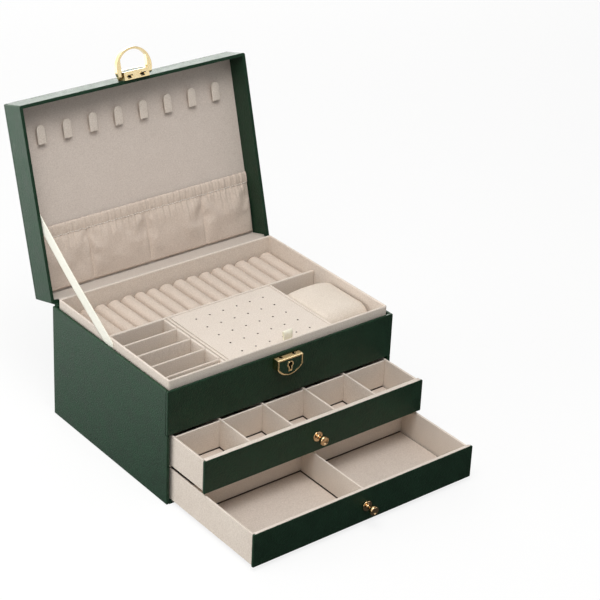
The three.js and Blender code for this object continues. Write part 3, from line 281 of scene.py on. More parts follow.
def finish_nodes(material, *names, bevel=None):
    """Gives CAD pieces their real material, and lets light turn softly over their eased edges."""
    for piece in map(nodes.get, names):
        piece.data.materials.clear()
        piece.data.materials.append(material)
        run_group(piece, "eased", rounding, {"Sharp above": math.pi if bevel else SHARP_ABOVE})
        if bevel:
            bevel_edges(piece, "polished_edges", bevel, 2, 40)
        piece.modifiers.new("weighted", "WEIGHTED_NORMAL").keep_sharp = True


finish_nodes(leatherette, "case_floor", "case_left_side", "case_right_side", "case_back", "case_front_fascia")

# ---- Shelf, tray floor, tray frame and the boards that divide the tray: board wrapped in beige velvet.
# The pile is half a millimetre high and is brushed a little this way and that.
# The frame stands proud of the case; divider boards are lapped into each other.


def velvet_material(name, shade, light, sheen=0.3):
    """Polyester velvet: short upright pile, no gloss, pale sheen; tufts drawn 1 mm across, to show."""
    material, tree, place = new_material(name)
    brushed = grain(tree, place, 60.0, 2.0, 0.6)
    pile = grain(tree, place, 950.0, 1.0, 0.7)
    share = ranged(tree, weighted_sum(tree, brushed, 0.16, pile), 0.3, 0.86)
    surface(tree, {
        "Base Color": tint(tree, share, shade, light), "Roughness": 0.95, "Specular IOR Level": 0.2,
        "Normal": relief(tree, pile, 0.45, 0.0003),
        "Sheen Weight": sheen, "Sheen Roughness": 0.45, "Sheen Tint": srgb("F6EBDD")})
    return material


velvet = velvet_material("beige_velvet_on_board", "D0C2B4", "E9DED2")
slot_dividers = (f"slot_divider_{number}" for number in range(1, 5))
finish_nodes(velvet, "drawer_shelf", "tray_floor", "tray_frame", "ring_partition", "slot_wall",
             *slot_dividers, "plate_frame")

# ---- Ring cushion: sixteen foam rolls in beige velvet, pressed side by side, with rings held in the clefts.
# Rolls are wrapped by hand, so they differ a little in width, height and bend; their ends are folded down.

ROLL_COUNT, ROLL_STEPS, ROLL_ROWS = 16, 16, 44
ROLL_CLEFT, ROLL_END = 10.5 * MM, 5.0 * MM
ROLL_SQUARENESS = 2.8


def grid_faces(lines, row, closed=False, turned=False):
    """Quads between lines of points, row of them on each; closed joins the two ends of every line."""
    quads = []
    for k in range(lines - 1):
        for c in range(row if closed else row - 1):
            after = (c + 1) % row
            quad = (k * row + c, k * row + after, (k + 1) * row + after, (k + 1) * row + c)
            quads.append(quad[:1] + quad[:0:-1] if turned else quad)
    return quads


def outward(piece):
    """Turns every face of a closed piece outwards."""
    shape = bmesh.new()
    shape.from_mesh(piece.data)
    bmesh.ops.remove_doubles(shape, verts=shape.verts, dist=1e-7)
    bmesh.ops.recalc_face_normals(shape, faces=shape.faces)
    shape.to_mesh(piece.data)
    shape.free()
    return piece


low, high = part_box("ring_cushion")
widths = [1 + 0.08 * math.sin(i * 2.1) + 0.05 * math.sin(i) for i in range(ROLL_COUNT)]
seams = [low.x + (high.x - low.x) * sum(widths[:i]) / sum(widths) for i in range(ROLL_COUNT + 1)]
columns, rows = ROLL_COUNT * ROLL_STEPS + 1, ROLL_ROWS + 1
points = []
for column in range(columns):
    roll = min(column // ROLL_STEPS, ROLL_COUNT - 1)
    across = math.sin(math.pi / 2 * (2 * (column / ROLL_STEPS - roll) - 1))
    half = (seams[roll + 1] - seams[roll]) / 2
    middle = (seams[roll + 1] + seams[roll]) / 2
    crown = high.z - 0.5 * MM + 0.35 * MM * math.sin(roll * 1.7 + 0.6)
    for row in range(rows):
        share = row / ROLL_ROWS
        share = 0.5 - 0.5 * math.cos(math.pi * share) if 0 < row < ROLL_ROWS else share
        y = low.y + share * (high.y - low.y)
        bow = 0.5 * MM * math.sin(math.pi * share) * math.sin(roll * 2.3 + 1.1) * (1 - across * across)
        x = middle + across * half + bow
        end = max(0.0, 1 - min(y - low.y, high.y - y) / ROLL_END)
        dome = math.sqrt(max(0.0, 1 - abs(across) ** ROLL_SQUARENESS - end * end))
        crease = noise.noise(Vector((x * 190, y * 60, roll * 3.0))) * 0.25 * MM
        points.append((x, y, crown - ROLL_CLEFT * (1 - dome) + crease))
# upright walls go down from the rim of the grid to a flat underside
rim = ([i * rows for i in range(columns)] + [(columns - 1) * rows + j for j in range(1, rows)]
       + [(i + 1) * rows - 1 for i in range(columns - 2, -1, -1)] + list(range(rows - 2, 0, -1)))
base, count = len(points), len(rim)
points += [(points[k][0], points[k][1], low.z) for k in rim]
faces = grid_faces(columns, rows, turned=True)
faces += [(rim[k], base + k, base + (k + 1) % count, rim[(k + 1) % count]) for k in range(count)]
faces.append(tuple(base + k for k in range(count - 1, -1, -1)))
rolls = outward(mesh_object("ring_rolls", points, faces))
rolls.data.materials.append(velvet_material("beige_velvet_on_foam", "C6B5A6", "DBCDBF"))
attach(rolls, "case")
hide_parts("ring_cushion")

# ---- Watch pillow: a foam block in beige velvet that lifts out, with a welted seam round both ends.
# Its cover is blown up a little by a cloth simulation, so that it swells between the seams.

PILLOW_BANDS, PILLOW_ARC = 26, 9
PILLOW_TOP_ROUND, PILLOW_FOOT_ROUND = 15 * MM, 6 * MM
PILLOW_MESH, PILLOW_SWELL = 2.6 * MM, 1.0 * MM


def settle(piece, pinned, frames, cap, growth=0.0, pressure=0.0, bending=0.15, kept=1.0):
    """Lets a cloth grow between its pinned points, and keeps a share of the movement, up to cap per point."""
    before = np.array([v.co for v in piece.data.vertices])
    held = piece.vertex_groups.new(name="held")
    held.add(pinned, 1.0, "REPLACE")
    cloth = piece.modifiers.new("cloth", "CLOTH")
    rules = cloth.settings
    rules.vertex_group_mass = "held"
    rules.quality = 5
    rules.use_pressure = pressure > 0
    rules.uniform_pressure_force = pressure
    rules.effector_weights.gravity = 0.0
    rules.shrink_min = -growth
    rules.tension_stiffness = rules.compression_stiffness = 15
    rules.bending_stiffness = bending
    for step in range(1, frames + 1):
        scene.frame_set(step)
    done = piece.evaluated_get(bpy.context.evaluated_depsgraph_get())
    move = np.array([v.co for v in done.data.vertices]) - before
    piece.modifiers.remove(cloth)
    piece.vertex_groups.remove(held)
    scene.frame_set(1)
    reach = np.linalg.norm(move, axis=1)
    move *= (np.minimum(reach, cap) / np.maximum(reach, 1e-9) * kept)[:, None]
    piece.data.vertices.foreach_set("co", (before + move).astype(np.float32).ravel())
    piece.data.update()


def resampled(ring, count):
    """The same closed outline with an even number of points along it."""
    loop = np.array(ring + ring[:1])
    steps = np.concatenate([[0], np.cumsum(np.linalg.norm(np.diff(loop, axis=0), axis=1))])
    places = np.linspace(0, steps[-1], count, endpoint=False)
    return [tuple(np.interp(places, steps, loop[:, axis])[k] for axis in range(3)) for k in range(count)]


low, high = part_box("watch_pillow")
middle_y, half_y = (low.y + high.y) / 2, (high.y - low.y) / 2 - 0.8 * MM
sections = []
for band in range(PILLOW_BANDS + 1):
    across = -math.cos(math.pi * band / PILLOW_BANDS)
    inset = 1.5 * MM * abs(across) ** 14
    x = (low.x + high.x) / 2 + across * ((high.x - low.x) / 2 - 0.3 * MM)
    roof = high.z - 0.7 * MM - 2.2 * MM * across * across - inset
    under = low.z + inset
    big, small = PILLOW_TOP_ROUND, PILLOW_FOOT_ROUND
    outline = []
    for cy, cz, radius, turn in ((half_y - inset - small, under + small, small, -90),
                                 (half_y - inset - big, roof - big, big, 0),
                                 (-half_y + inset + big, roof - big, big, 90),
                                 (-half_y + inset + small, under + small, small, 180)):
        for step in range(PILLOW_ARC + 1):
            bearing = math.radians(turn + 90 * step / PILLOW_ARC)
            outline.append((x, middle_y + cy + radius * math.cos(bearing), cz + radius * math.sin(bearing)))
    dense = []
    for here, there in zip(outline, outline[1:] + outline[:1]):
        parts = max(1, round(math.dist(here, there) / PILLOW_MESH))
        dense += [tuple(a + (b - a) * k / parts for a, b in zip(here, there)) for k in range(parts)]
    sections.append(dense)
count = max(len(s) for s in sections)
sections = [resampled(s, count) for s in sections]
points = [p for s in sections for p in s]
faces = grid_faces(PILLOW_BANDS + 1, count, closed=True)
for side, ring in ((0, sections[0]), (PILLOW_BANDS, sections[-1])):
    centre = np.mean(ring, axis=0)
    last = side * count
    for scale in (0.86, 0.7, 0.5, 0.28):
        start = len(points)
        points += [tuple(centre + (np.array(p) - centre) * scale) for p in ring]
        faces += [(last + k, start + k, start + (k + 1) % count, last + (k + 1) % count)
                  for k in range(count)]
        last = start
    points.append(tuple(centre))
    faces += [(last + k, len(points) - 1, last + (k + 1) % count) for k in range(count)]
pillow = outward(mesh_object("watch_pillow_cover", points, faces))
seam_ring = [v.index for v in pillow.data.vertices
             if v.co.x < low.x + 0.5 * MM or v.co.x > high.x - 0.5 * MM or v.co.z < low.z + 0.2 * MM]
settle(pillow, seam_ring, 18, PILLOW_SWELL, pressure=2.0, bending=0.6)
for vertex in pillow.data.vertices:
    vertex.co.z = max(vertex.co.z, low.z)
    vertex.co.z += 0.22 * MM * noise.noise(Vector(vertex.co) * 70)
smooth = pillow.modifiers.new("smooth", "SUBSURF")
smooth.levels = smooth.render_levels = 1
pillow.data.materials.append(velvet_material("ivory_velvet_on_foam", "D2C4B4", "E8DCCE"))
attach(pillow, "pillow")
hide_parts("watch_pillow")

# ---- Earring plate: velvet board with 30 punched holes, lifted by a folded tab of cream ribbon.
# The walls of the holes are bare grey board, a second material that a modifier gives to those faces; the
# board is drawn far darker than bare board, as painted shade inside the holes.

TAB_STEPS, TAB_LOOP = 24, 11.9 * MM


def mottled_material(name, scale, detail, dark, light, sockets, depth=0.0):
    """A fine speckle from dark to light; with a depth, the speckle is also felt as relief."""
    material, tree, place = new_material(name)
    speckle = grain(tree, place, scale, detail)
    sockets = {"Base Color": tint(tree, speckle, dark, light), **sockets}
    if depth:
        sockets["Normal"] = relief(tree, speckle, 0.4, depth)
    surface(tree, sockets)
    return material


hollows, given = new_group("second_material_in_a_box", {
    "Middle": "Vector", "Turn": "Float", "Half size": "Vector"})
position = node(hollows, "GeometryNodeInputPosition").outputs[0]
away = node(hollows, "ShaderNodeVectorMath", {0: position, 1: given["Middle"]}, operation="SUBTRACT")
turned = node(hollows, "ShaderNodeVectorRotate", {"Vector": away.outputs[0], "Angle": given["Turn"]},
              rotation_type="X_AXIS", invert=True)
apart = node(hollows, "ShaderNodeVectorMath", {0: turned.outputs[0]}, operation="ABSOLUTE")
# inputs 4 and 5 are the comparison's two vectors
inside = node(hollows, "FunctionNodeCompare", data_type="VECTOR", mode="ELEMENT", operation="LESS_THAN")
hollows.links.new(apart.outputs[0], inside.inputs[4])
hollows.links.new(given["Half size"], inside.inputs[5])
second = node(hollows, "GeometryNodeSetMaterialIndex", {
    "Geometry": given["Geometry"], "Selection": inside.outputs[0], "Material Index": 1})
node(hollows, "NodeGroupOutput", {"Geometry": second.outputs[0]})


def line_hollow(name, material, middle, half_size, turn=0.0):
    """Gives the faces of a CAD piece that lie within a turned box a second material."""
    piece = nodes[name]
    if len(piece.data.materials) < 2:
        piece.data.materials.append(material)
    run_group(piece, "hollow", hollows, {
        "Middle": tuple(middle), "Turn": turn, "Half size": tuple(half_size)})


finish_nodes(velvet, "earring_plate")
# Bare grey board, drawn nearly black: painted shade in the plate's holes and in the gaps round the drawer
# cards.
bare_board_darkened_for_shade = mottled_material("grey_board_darkened_as_painted_shade", 1800.0, 3.0, "3A3028", "5C5046", {"Roughness": 0.95})
low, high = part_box("earring_plate")
line_hollow("earring_plate", bare_board_darkened_for_shade, (low + high) / 2, (high - low) / 2 - Vector((2, 2, 0.08)) * MM)


def thicken(piece, thickness):
    solid = piece.modifiers.new("thickness", "SOLIDIFY")
    solid.thickness, solid.offset = thickness, 0.0


def ribbon_material(name, dull, bright):
    """Polyester satin ribbon: fine cross ribs, soft gloss, slightly darker woven edges."""
    material, tree, _ = new_material(name)
    uv = node(tree, "ShaderNodeUVMap", uv_map="along").outputs["UV"]
    ribs = node(tree, "ShaderNodeTexWave", {"Vector": uv, "Scale": 320.0, "Distortion": 0.4},
                bands_direction="Y")
    weft = grain(tree, uv, 500.0, 3.0)
    sideways = node(tree, "ShaderNodeSeparateXYZ", {0: uv}).outputs["X"]
    off = node(tree, "ShaderNodeMath", {0: sideways}, operation="ABSOLUTE")
    selvedge = ranged(tree, off.outputs[0], 0.0048, 0.0058)
    surface(tree, {
        "Base Color": tint(tree, weighted_sum(tree, selvedge, -0.5, weft), dull, bright), "Roughness": 0.42,
        "Normal": relief(tree, ribs.outputs["Fac"], 0.35, 0.00008), "Sheen Weight": 0.2})
    return material


def ribbon_strip(name, path, sides, width, thickness, columns=8):
    """A flat strip that follows a path of points; its UV map runs in metres across and along it."""
    points, uvs = [], []
    travel = 0.0
    for k, (here, side) in enumerate(zip(path, sides)):
        if k:
            travel += (Vector(here) - Vector(path[k - 1])).length
        for column in range(columns + 1):
            share = column / columns - 0.5
            points.append(Vector(here) + Vector(side).normalized() * width * share)
            uvs.append((share * width, travel))
    made = mesh_object(name, points, grid_faces(len(path), columns + 1))
    layer = made.data.uv_layers.new(name="along")
    for loop in made.data.loops:
        layer.data[loop.index].uv = uvs[loop.vertex_index]
    thicken(made, thickness)
    return made


low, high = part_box("plate_tab")
tab_path = []
for step in range(TAB_STEPS + 1):
    share = step / TAB_STEPS
    height = math.sin(math.pi * share) ** 0.75
    open_y = 1.15 * MM * math.sin(2 * math.pi * share)
    tab_path.append(((low.x + high.x) / 2, low.y + 1.7 * MM + open_y + 2.0 * MM * height,
                     low.z + 0.25 * MM + TAB_LOOP * height))
tab = ribbon_strip("plate_ribbon_tab", tab_path, [(1, 0, 0)] * len(tab_path), high.x - low.x, 0.35 * MM)
tab.data.materials.append(ribbon_material("cream_satin_ribbon_tab", "F1E9C8", "FFFCEE"))
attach(tab, "plate")
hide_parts("plate_tab")

# ---- Drawers: velvet boxes behind leatherette fronts, with velvet cards on the floor and lapped dividers.
# Under the cards the floor is bare board, drawn nearly black, which shows as a dark line round each card:
# painted shade in the gaps.
# Turned, gold-plated knobs are screwed on through the fronts.

CARD_INSET, BOARD_HALF = 1.0 * MM, 1.1 * MM


def moved_points(made):
    return [part for part in made["geom"] if isinstance(part, bmesh.types.BMVert)]


def solid_object(name, shape):
    """Turns a bmesh into an object, smooth shaded, with its faces outwards."""
    bmesh.ops.recalc_face_normals(shape, faces=shape.faces)
    mesh = bpy.data.meshes.new(name)
    shape.to_mesh(mesh)
    shape.free()
    return smooth_object(name, mesh)


card_velvet = velvet_material("taupe_velvet_floor_pad", "C3B4A7", "DBCEC2", 0.25)
for drawer, dividers in (("upper_drawer", 4), ("lower_drawer", 1)):
    walls = [f"{drawer}_divider_{k + 1}" for k in range(dividers)]
    finish_nodes(leatherette, f"{drawer}_front")
    finish_nodes(velvet, f"{drawer}_box", f"{drawer}_cross_board", *walls)
    low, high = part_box(f"{drawer}_floor_pad")
    centre, half = (low + high) / 2, (high - low) / 2
    # the dark bare board under the cards is painted shade for the gaps round them
    line_hollow(f"{drawer}_box", bare_board_darkened_for_shade, (centre.x, centre.y, low.z), (half.x, half.y, 0.3 * MM))
    cross_low, cross_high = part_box(f"{drawer}_cross_board")
    cross_y = (cross_low.y + cross_high.y) / 2
    fences = [low.x, *sorted((a.x + b.x) / 2 for a, b in map(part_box, walls)), high.x]
    shape = bmesh.new()
    for y0, y1 in ((low.y, cross_y), (cross_y, high.y)):
        for x0, x1 in zip(fences, fences[1:]):
            slab = bmesh.ops.create_grid(shape, x_segments=1, y_segments=1, size=0.5)["verts"]
            inner = [CARD_INSET if edge in (low.x, high.x, low.y, high.y) else BOARD_HALF + CARD_INSET
                     for edge in (x0, x1, y0, y1)]
            for vertex in slab:
                vertex.co.x = x0 + inner[0] if vertex.co.x < 0 else x1 - inner[1]
                vertex.co.y = y0 + inner[2] if vertex.co.y < 0 else y1 - inner[3]
                vertex.co.z = low.z
            flat = list({f for v in slab for f in v.link_faces})
            for vertex in moved_points(bmesh.ops.extrude_face_region(shape, geom=flat)):
                vertex.co.z = high.z
    cards = solid_object(f"{drawer}_velvet_cards", shape)
    bevel_edges(cards, "turned_edge", 0.4 * MM, 2, 30)
    cards.data.materials.append(card_velvet)
    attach(cards, drawer)
    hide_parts(f"{drawer}_floor_pad")

# The velvet of each drawer's front wall is turned over the top of the leatherette front, as a pale rim.
# Each pair is the reach behind the front's face and the height above its top, in millimetres.
RIM_TOPS = {
    "upper_drawer": [(4.9, 0.4), (5.45, 0.15), (5.7, -0.4)],
    "lower_drawer": [(3.2, 0.4), (3.6, 0.1), (3.7, -0.85), (5.2, -0.95), (5.7, -1.4)]}
RIM_SPANS = 60
for drawer, over in RIM_TOPS.items():
    front_low, front_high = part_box(f"{drawer}_front")
    box_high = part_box(f"{drawer}_box")[1]
    wall_top = (box_high.z - front_high.z) / MM
    outline = [(0.9, 0.03), (0.9, 0.22), (1.2, 0.4), *over, (5.7, wall_top - 2.0), (5.57, wall_top - 2.0),
               (5.57, wall_top + 0.03), (3.02, wall_top + 0.03), (3.02, 0.03)]
    reach = box_high.x - 0.4 * MM
    points = []
    for span in range(RIM_SPANS + 1):
        x = reach * (2 * span / RIM_SPANS - 1)
        pull = 0.12 * MM * noise.noise(Vector((x * 160, box_high.z * 90, 1.0)))
        points += [(x, front_low.y + back * MM + pull, front_high.z + lift * MM + min(0, pull))
                   for back, lift in outline]
    count = len(outline)
    faces = grid_faces(RIM_SPANS + 1, count, closed=True)
    faces += [tuple(range(count)), tuple(RIM_SPANS * count + i for i in range(count - 1, -1, -1))]
    rim = outward(mesh_object(f"{drawer}_velvet_rim", points, faces))
    rim.data.materials.append(velvet)
    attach(rim, drawer)


def gold_material(name, bright, bronze):
    """Polished gold plating on a zinc casting: high gloss, hair-fine polishing marks, bronze clouds."""
    material, tree, place = new_material(name)
    marks = node(tree, "ShaderNodeTexNoise", {
        "Vector": place, "Scale": 2500.0, "Detail": 2.0, "Distortion": 1.5}).outputs["Fac"]
    surface(tree, {
        "Base Color": tint(tree, grain(tree, place, 380.0, 3.0), bronze, bright), "Metallic": 1.0,
        "Roughness": ranged(tree, marks, 0.0, 1.0, 0.08, 0.22), "Normal": relief(tree, marks, 0.12, 0.00004)})
    return material


gold = gold_material("pale_gold_plating_polished", "EFE0B6", "DDC28E")
# The knobs' gold is a pinker, darker copy of the lock's pale gold, tinted to stand for the darker reflections
# on the knobs: painted reflection.
knob_gold_tinted_for_reflection = gold_material("gold_plating_tinted_as_painted_knob_reflection", "EBCFA6", "C99F70")
KNOB_SIDES = 56
# radius and reach in front of the drawer front, in millimetres
KNOB_PROFILE = [
    (0, -4.3), (1.5, -4.3), (1.5, 0.1), (5.0, 0.1), (5.2, 0.3), (5.2, 0.9), (4.9, 1.35), (4.2, 1.55),
    (2.6, 1.75), (2.05, 2.2), (1.9, 3.2), (1.9, 5.4), (2.2, 6.3), (3.1, 6.95), (3.9, 7.15), (4.35, 7.6),
    (4.5, 8.2), (4.5, 10.4), (4.35, 11.0), (3.9, 11.45), (3.4, 11.6), (2.8, 11.55), (2.4, 11.15),
    (1.2, 10.95), (0, 10.9)]
for drawer in RIM_TOPS:
    low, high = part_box(f"{drawer}_knob")
    front_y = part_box(f"{drawer}_front")[0].y
    knob_z = (low.z + high.z) / 2
    points = []
    for radius, reach in KNOB_PROFILE:
        for side in range(KNOB_SIDES):
            turn = 2 * math.pi * side / KNOB_SIDES
            points.append((radius * MM * math.cos(turn), front_y - reach * MM,
                           knob_z + radius * MM * math.sin(turn)))
    faces = grid_faces(len(KNOB_PROFILE), KNOB_SIDES, closed=True)
    knob = outward(mesh_object(f"{drawer}_turned_knob", points, faces))
    knob.data.materials.append(knob_gold_tinted_for_reflection)
    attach(knob, drawer)
    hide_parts(f"{drawer}_knob")

# ---- Lid shell and top frame: leatherette over board, the top slightly padded between its two seams.
# Both seams are lock-stitched in teal thread; single stitches are raised and lie end to end.

LID_FRONT, LID_BACK, LID_TOP = -192.8, -0.8, 33.3
LID_HALF = 130
CROWN_DROP, CROWN_REACH = 3.4, 7.0
RECESS_X, RECESS_FRONT, RECESS_BACK = 107.3, -171.8, -21.8
SEAM_INSET, RECESS_SEAM = 3.1, 3.8
finish_nodes(leatherette, "lid_shell", "lid_top_frame")

hinge = next(j for j in frame["joints"] if j["name"] == "lid_hinge")
HINGE = Vector(hinge["pos_m"])
OPEN = math.radians(hinge["range_deg"][0])


def on_lid(x, y, z):
    """A point given in the closed lid's own frame, in millimetres from the hinge line, as it stands open."""
    c, s = math.cos(OPEN), math.sin(OPEN)
    return Vector((x * MM, HINGE.y + (y * c - z * s) * MM, HINGE.z + (y * s + z * c) * MM))


thread = mottled_material("teal_polyester_thread", 2600.0, 2.0, "3C7E83", "64A6AA",
                          {"Roughness": 0.5, "Sheen Weight": 0.3}, depth=0.0001)

sewing, given = new_group("stitches_along_lines", {
    "Pitch": "Float", "Length": "Float", "Radius": "Float", "Thread": "Material"})
lines = node(sewing, "GeometryNodeMeshToCurve", {"Mesh": given["Geometry"]})
places = node(sewing, "GeometryNodeResampleCurve", {
    "Curve": lines.outputs[0], "Length": given["Pitch"]}, mode="LENGTH")
tangent = node(sewing, "GeometryNodeInputTangent").outputs[0]
facing = node(sewing, "FunctionNodeAlignRotationToVector", {"Vector": tangent}, axis="Z")
bead = node(sewing, "GeometryNodeMeshUVSphere", {"Segments": 8, "Rings": 6, "Radius": 0.5})
size = node(sewing, "ShaderNodeCombineXYZ", {
    "X": given["Radius"], "Y": given["Radius"], "Z": given["Length"]})
stitches = node(sewing, "GeometryNodeInstanceOnPoints", {
    "Points": places.outputs[0], "Instance": bead.outputs["Mesh"], "Rotation": facing.outputs[0],
    "Scale": size.outputs[0]})
real = node(sewing, "GeometryNodeRealizeInstances", {"Geometry": stitches.outputs[0]})
rounded = node(sewing, "GeometryNodeSetShadeSmooth", {
    "Geometry": real.outputs[0], "Shade Smooth": True})
dressed = node(sewing, "GeometryNodeSetMaterial", {
    "Geometry": rounded.outputs[0], "Material": given["Thread"]})
node(sewing, "NodeGroupOutput", {"Geometry": dressed.outputs[0]})


def final_mesh(piece):
    return bpy.data.meshes.new_from_object(piece.evaluated_get(bpy.context.evaluated_depsgraph_get()))


def sew(name, rows, body, material, pitch=3.0 * MM, length=2.4 * MM, radius=0.75 * MM):
    """Single stitches along rows of points, baked to one plain mesh that rides on a body."""
    points, edges = [], []
    for row in rows:
        edges += [(len(points) + k, len(points) + k + 1) for k in range(len(row) - 1)]
        points += [tuple(p) for p in row]
    mesh = bpy.data.meshes.new(f"{name}_lines")
    mesh.from_pydata(points, edges, [])
    guide = add_object(f"{name}_lines", mesh)
    run_group(guide, "stitches", sewing, {
        "Pitch": pitch, "Length": length, "Radius": radius, "Thread": material})
    baked = final_mesh(guide)
    bpy.data.objects.remove(guide)
    made = add_object(name, baked)
    if not baked.materials:
        baked.materials.append(material)
    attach(made, body)


def rectangle_rows(x, front, back, z, step=4.0):
    """Four rows of points round a rectangle on the lid's top."""
    corners = [(-x, front), (x, front), (x, back), (-x, back)]
    rows = []
    for (x0, y0), (x1, y1) in zip(corners, corners[1:] + corners[:1]):
        parts = round(math.hypot(x1 - x0, y1 - y0) / step)
        rows.append([on_lid(x0 + (x1 - x0) * k / parts, y0 + (y1 - y0) * k / parts, z)
                     for k in range(parts + 1)])
    return rows


# the padded top falls away to the lid's edge in a quarter of an ellipse
seam_z = LID_TOP - CROWN_DROP * (1 - math.sqrt(1 - (1 - SEAM_INSET / CROWN_REACH) ** 2)) + 0.1
seam_rows = rectangle_rows(LID_HALF - SEAM_INSET, LID_FRONT + SEAM_INSET, LID_BACK - SEAM_INSET, seam_z)
seam_rows += rectangle_rows(RECESS_X + RECESS_SEAM, RECESS_FRONT - RECESS_SEAM, RECESS_BACK + RECESS_SEAM,
                            LID_TOP + 0.1)
sew("lid_frame_stitches", seam_rows, "lid", thread)

# ---- Quilted pad in the lid: leatherette over wadding, stitched through in diamonds with teal thread.
# A cloth simulation, pinned along the seams, lets the skin swell and pucker between them.

QUILT_X, QUILT_Y = 34.1, 49.4
QUILT_STEPS, QUILT_SWELL = 20, 1.0 * MM
PAD_X, PAD_Y = RECESS_X - 0.4, (RECESS_BACK - RECESS_FRONT) / 2 - 0.4
PAD_MIDDLE = (RECESS_FRONT + RECESS_BACK) / 2
PAD_FLOOR = 28.1
HEM_THICK, SEAM_THICK, PUFF_HIGH, HEM_REACH = 1.2, 3.1, 2.0, 5.0
SEAM_POINTS, SEAM_MARGIN = 240, 1.2


def quilt_thick(x, y):
    """Thickness of the pad in millimetres: least along the hem, low along the seams, full in each diamond."""
    along = x / QUILT_X + 0.5
    stitched = abs(math.sin(math.pi * (along + y / QUILT_Y)) * math.sin(math.pi * (along - y / QUILT_Y)))
    edge = min(PAD_X - abs(x), PAD_Y - abs(y))
    rise = math.sin(math.pi / 2 * min(max(edge / HEM_REACH, 0.0), 1.0))
    full = SEAM_THICK - 0.5 + (PUFF_HIGH + 0.5) * stitched ** 0.42
    return HEM_THICK + (full - HEM_THICK) * rise


def places_to(reach, step):
    """Places from -reach to reach, at whole steps from the middle and at both ends."""
    whole = int(reach / step - 1e-6)
    return [-reach, *[k * step for k in range(-whole, whole + 1)], reach]


xs, ys = places_to(PAD_X, QUILT_X / QUILT_STEPS), places_to(PAD_Y, QUILT_Y / QUILT_STEPS)
columns, rows = len(xs), len(ys)
points, pinned = [], []
for i, x in enumerate(xs):
    for j, y in enumerate(ys):
        phase = [(x / QUILT_X + 0.5 + sign * y / QUILT_Y) % 1.0 for sign in (1, -1)]
        on_hem = i in (0, columns - 1) or j in (0, rows - 1)
        if on_hem or min(min(p, 1 - p) for p in phase) < 0.02:
            pinned.append(len(points))
        points.append(on_lid(x, PAD_MIDDLE + y, PAD_FLOOR + quilt_thick(x, y)))
skin = mesh_object("quilt_skin", points, grid_faces(columns, rows, turned=True))
up = (on_lid(0, 0, 1) - on_lid(0, 0, 0)).normalized()
settle(skin, pinned, 20, QUILT_SWELL, growth=0.035, pressure=1.0)
finer = skin.modifiers.new("finer", "SUBSURF")
finer.levels = finer.render_levels = 1
fine_mesh = final_mesh(skin)
bpy.data.objects.remove(skin)
shape = bmesh.new()
shape.from_mesh(fine_mesh)
wall = bmesh.ops.extrude_edge_only(shape, edges=[edge for edge in shape.edges if edge.is_boundary])
back_z = on_lid(0, 0, PAD_FLOOR + 0.05).dot(up)
for vertex in moved_points(wall):
    vertex.co -= up * (vertex.co.dot(up) - back_z)
bmesh.ops.contextual_create(shape, geom=[g for g in wall["geom"] if isinstance(g, bmesh.types.BMEdge)])
shape.to_mesh(fine_mesh)
shape.free()
quilt = outward(add_object("quilted_pad_skin", fine_mesh))
quilt.data.materials.append(leatherette)
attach(quilt, "lid")
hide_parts("quilted_pad")

quilt_rows = []
for sign in (1, -1):
    for number in range(-12, 13):
        row = []
        for k in range(SEAM_POINTS + 1):
            y = -PAD_Y + 2 * PAD_Y * k / SEAM_POINTS
            x = (number - 0.5 - sign * y / QUILT_Y) * QUILT_X
            if abs(x) < PAD_X - SEAM_MARGIN and abs(y) < PAD_Y - SEAM_MARGIN:
                row.append(on_lid(x, PAD_MIDDLE + y, PAD_FLOOR + quilt_thick(x, y) + 0.3))
        if len(row) > 12:
            quilt_rows.append(row)
sew("quilting_stitches", quilt_rows, "lid", thread)

# ---- Velvet lining of the lid's ceiling: thin board wrapped in velvet and glued in.
# Its velvet is a little darker and greyer than the velvet of the tray: painted shade, for the shade on the
# lid's ceiling.

finish_nodes(velvet_material("lining_velvet_greyed_as_painted_shade", "C7B9AE", "DDD1C6"), "lid_lining")

# ---- Velvet hinge strip: glued to the lid's back wall, turned over its rim and tucked behind the tray frame.
# Its two outer corners are rounded; it bridges the seam on the inside when the lid stands open.

STRIP_REACH, STRIP_NARROW, STRIP_CORNER = 126.3, 122.6, 4.6
STRIP_COLUMNS = 60
STRIP_TOP, STRIP_RIM = 22.9, 0.9
WALL_FACE, CASE_FACE_Y, SEAM_Z = -4.35, 92.15, 0.118
WALL_STEPS, FOLD_STEPS, TUCK_STEPS = 22, 18, 6
route, halves = [], []
for k in range(WALL_STEPS + 1):
    z = STRIP_TOP - 22.0 * k / WALL_STEPS
    low_corner = max(0.0, 1 - (z - STRIP_RIM) / STRIP_CORNER)
    route.append(on_lid(0, WALL_FACE, z))
    halves.append(STRIP_NARROW + (STRIP_REACH - STRIP_NARROW) * math.sqrt(max(0.0, 1 - low_corner ** 2)))
fold_ends = route[-1], Vector((0, CASE_FACE_Y * MM, SEAM_Z))
radii = [(end - HINGE).length for end in fold_ends]
turns = [math.atan2(end.z - HINGE.z, end.y - HINGE.y) % (2 * math.pi) for end in fold_ends]
for k in range(1, FOLD_STEPS + 1):
    share = k / FOLD_STEPS
    turn = turns[0] + (turns[1] - turns[0]) * share
    radius = radii[0] + (radii[1] - radii[0]) * share
    route.append(Vector((0, HINGE.y + radius * math.cos(turn), HINGE.z + radius * math.sin(turn))))
    halves.append(STRIP_NARROW)
for k in range(1, TUCK_STEPS + 1):
    route.append(Vector((0, CASE_FACE_Y * MM, SEAM_Z - k * MM)))
    halves.append(STRIP_NARROW)
points = [(half * MM * (2 * c / STRIP_COLUMNS - 1), here.y, here.z)
          for here, half in zip(route, halves) for c in range(STRIP_COLUMNS + 1)]
inner_strip = mesh_object("velvet_hinge_strip", points, grid_faces(len(route), STRIP_COLUMNS + 1))
thicken(inner_strip, 0.6 * MM)
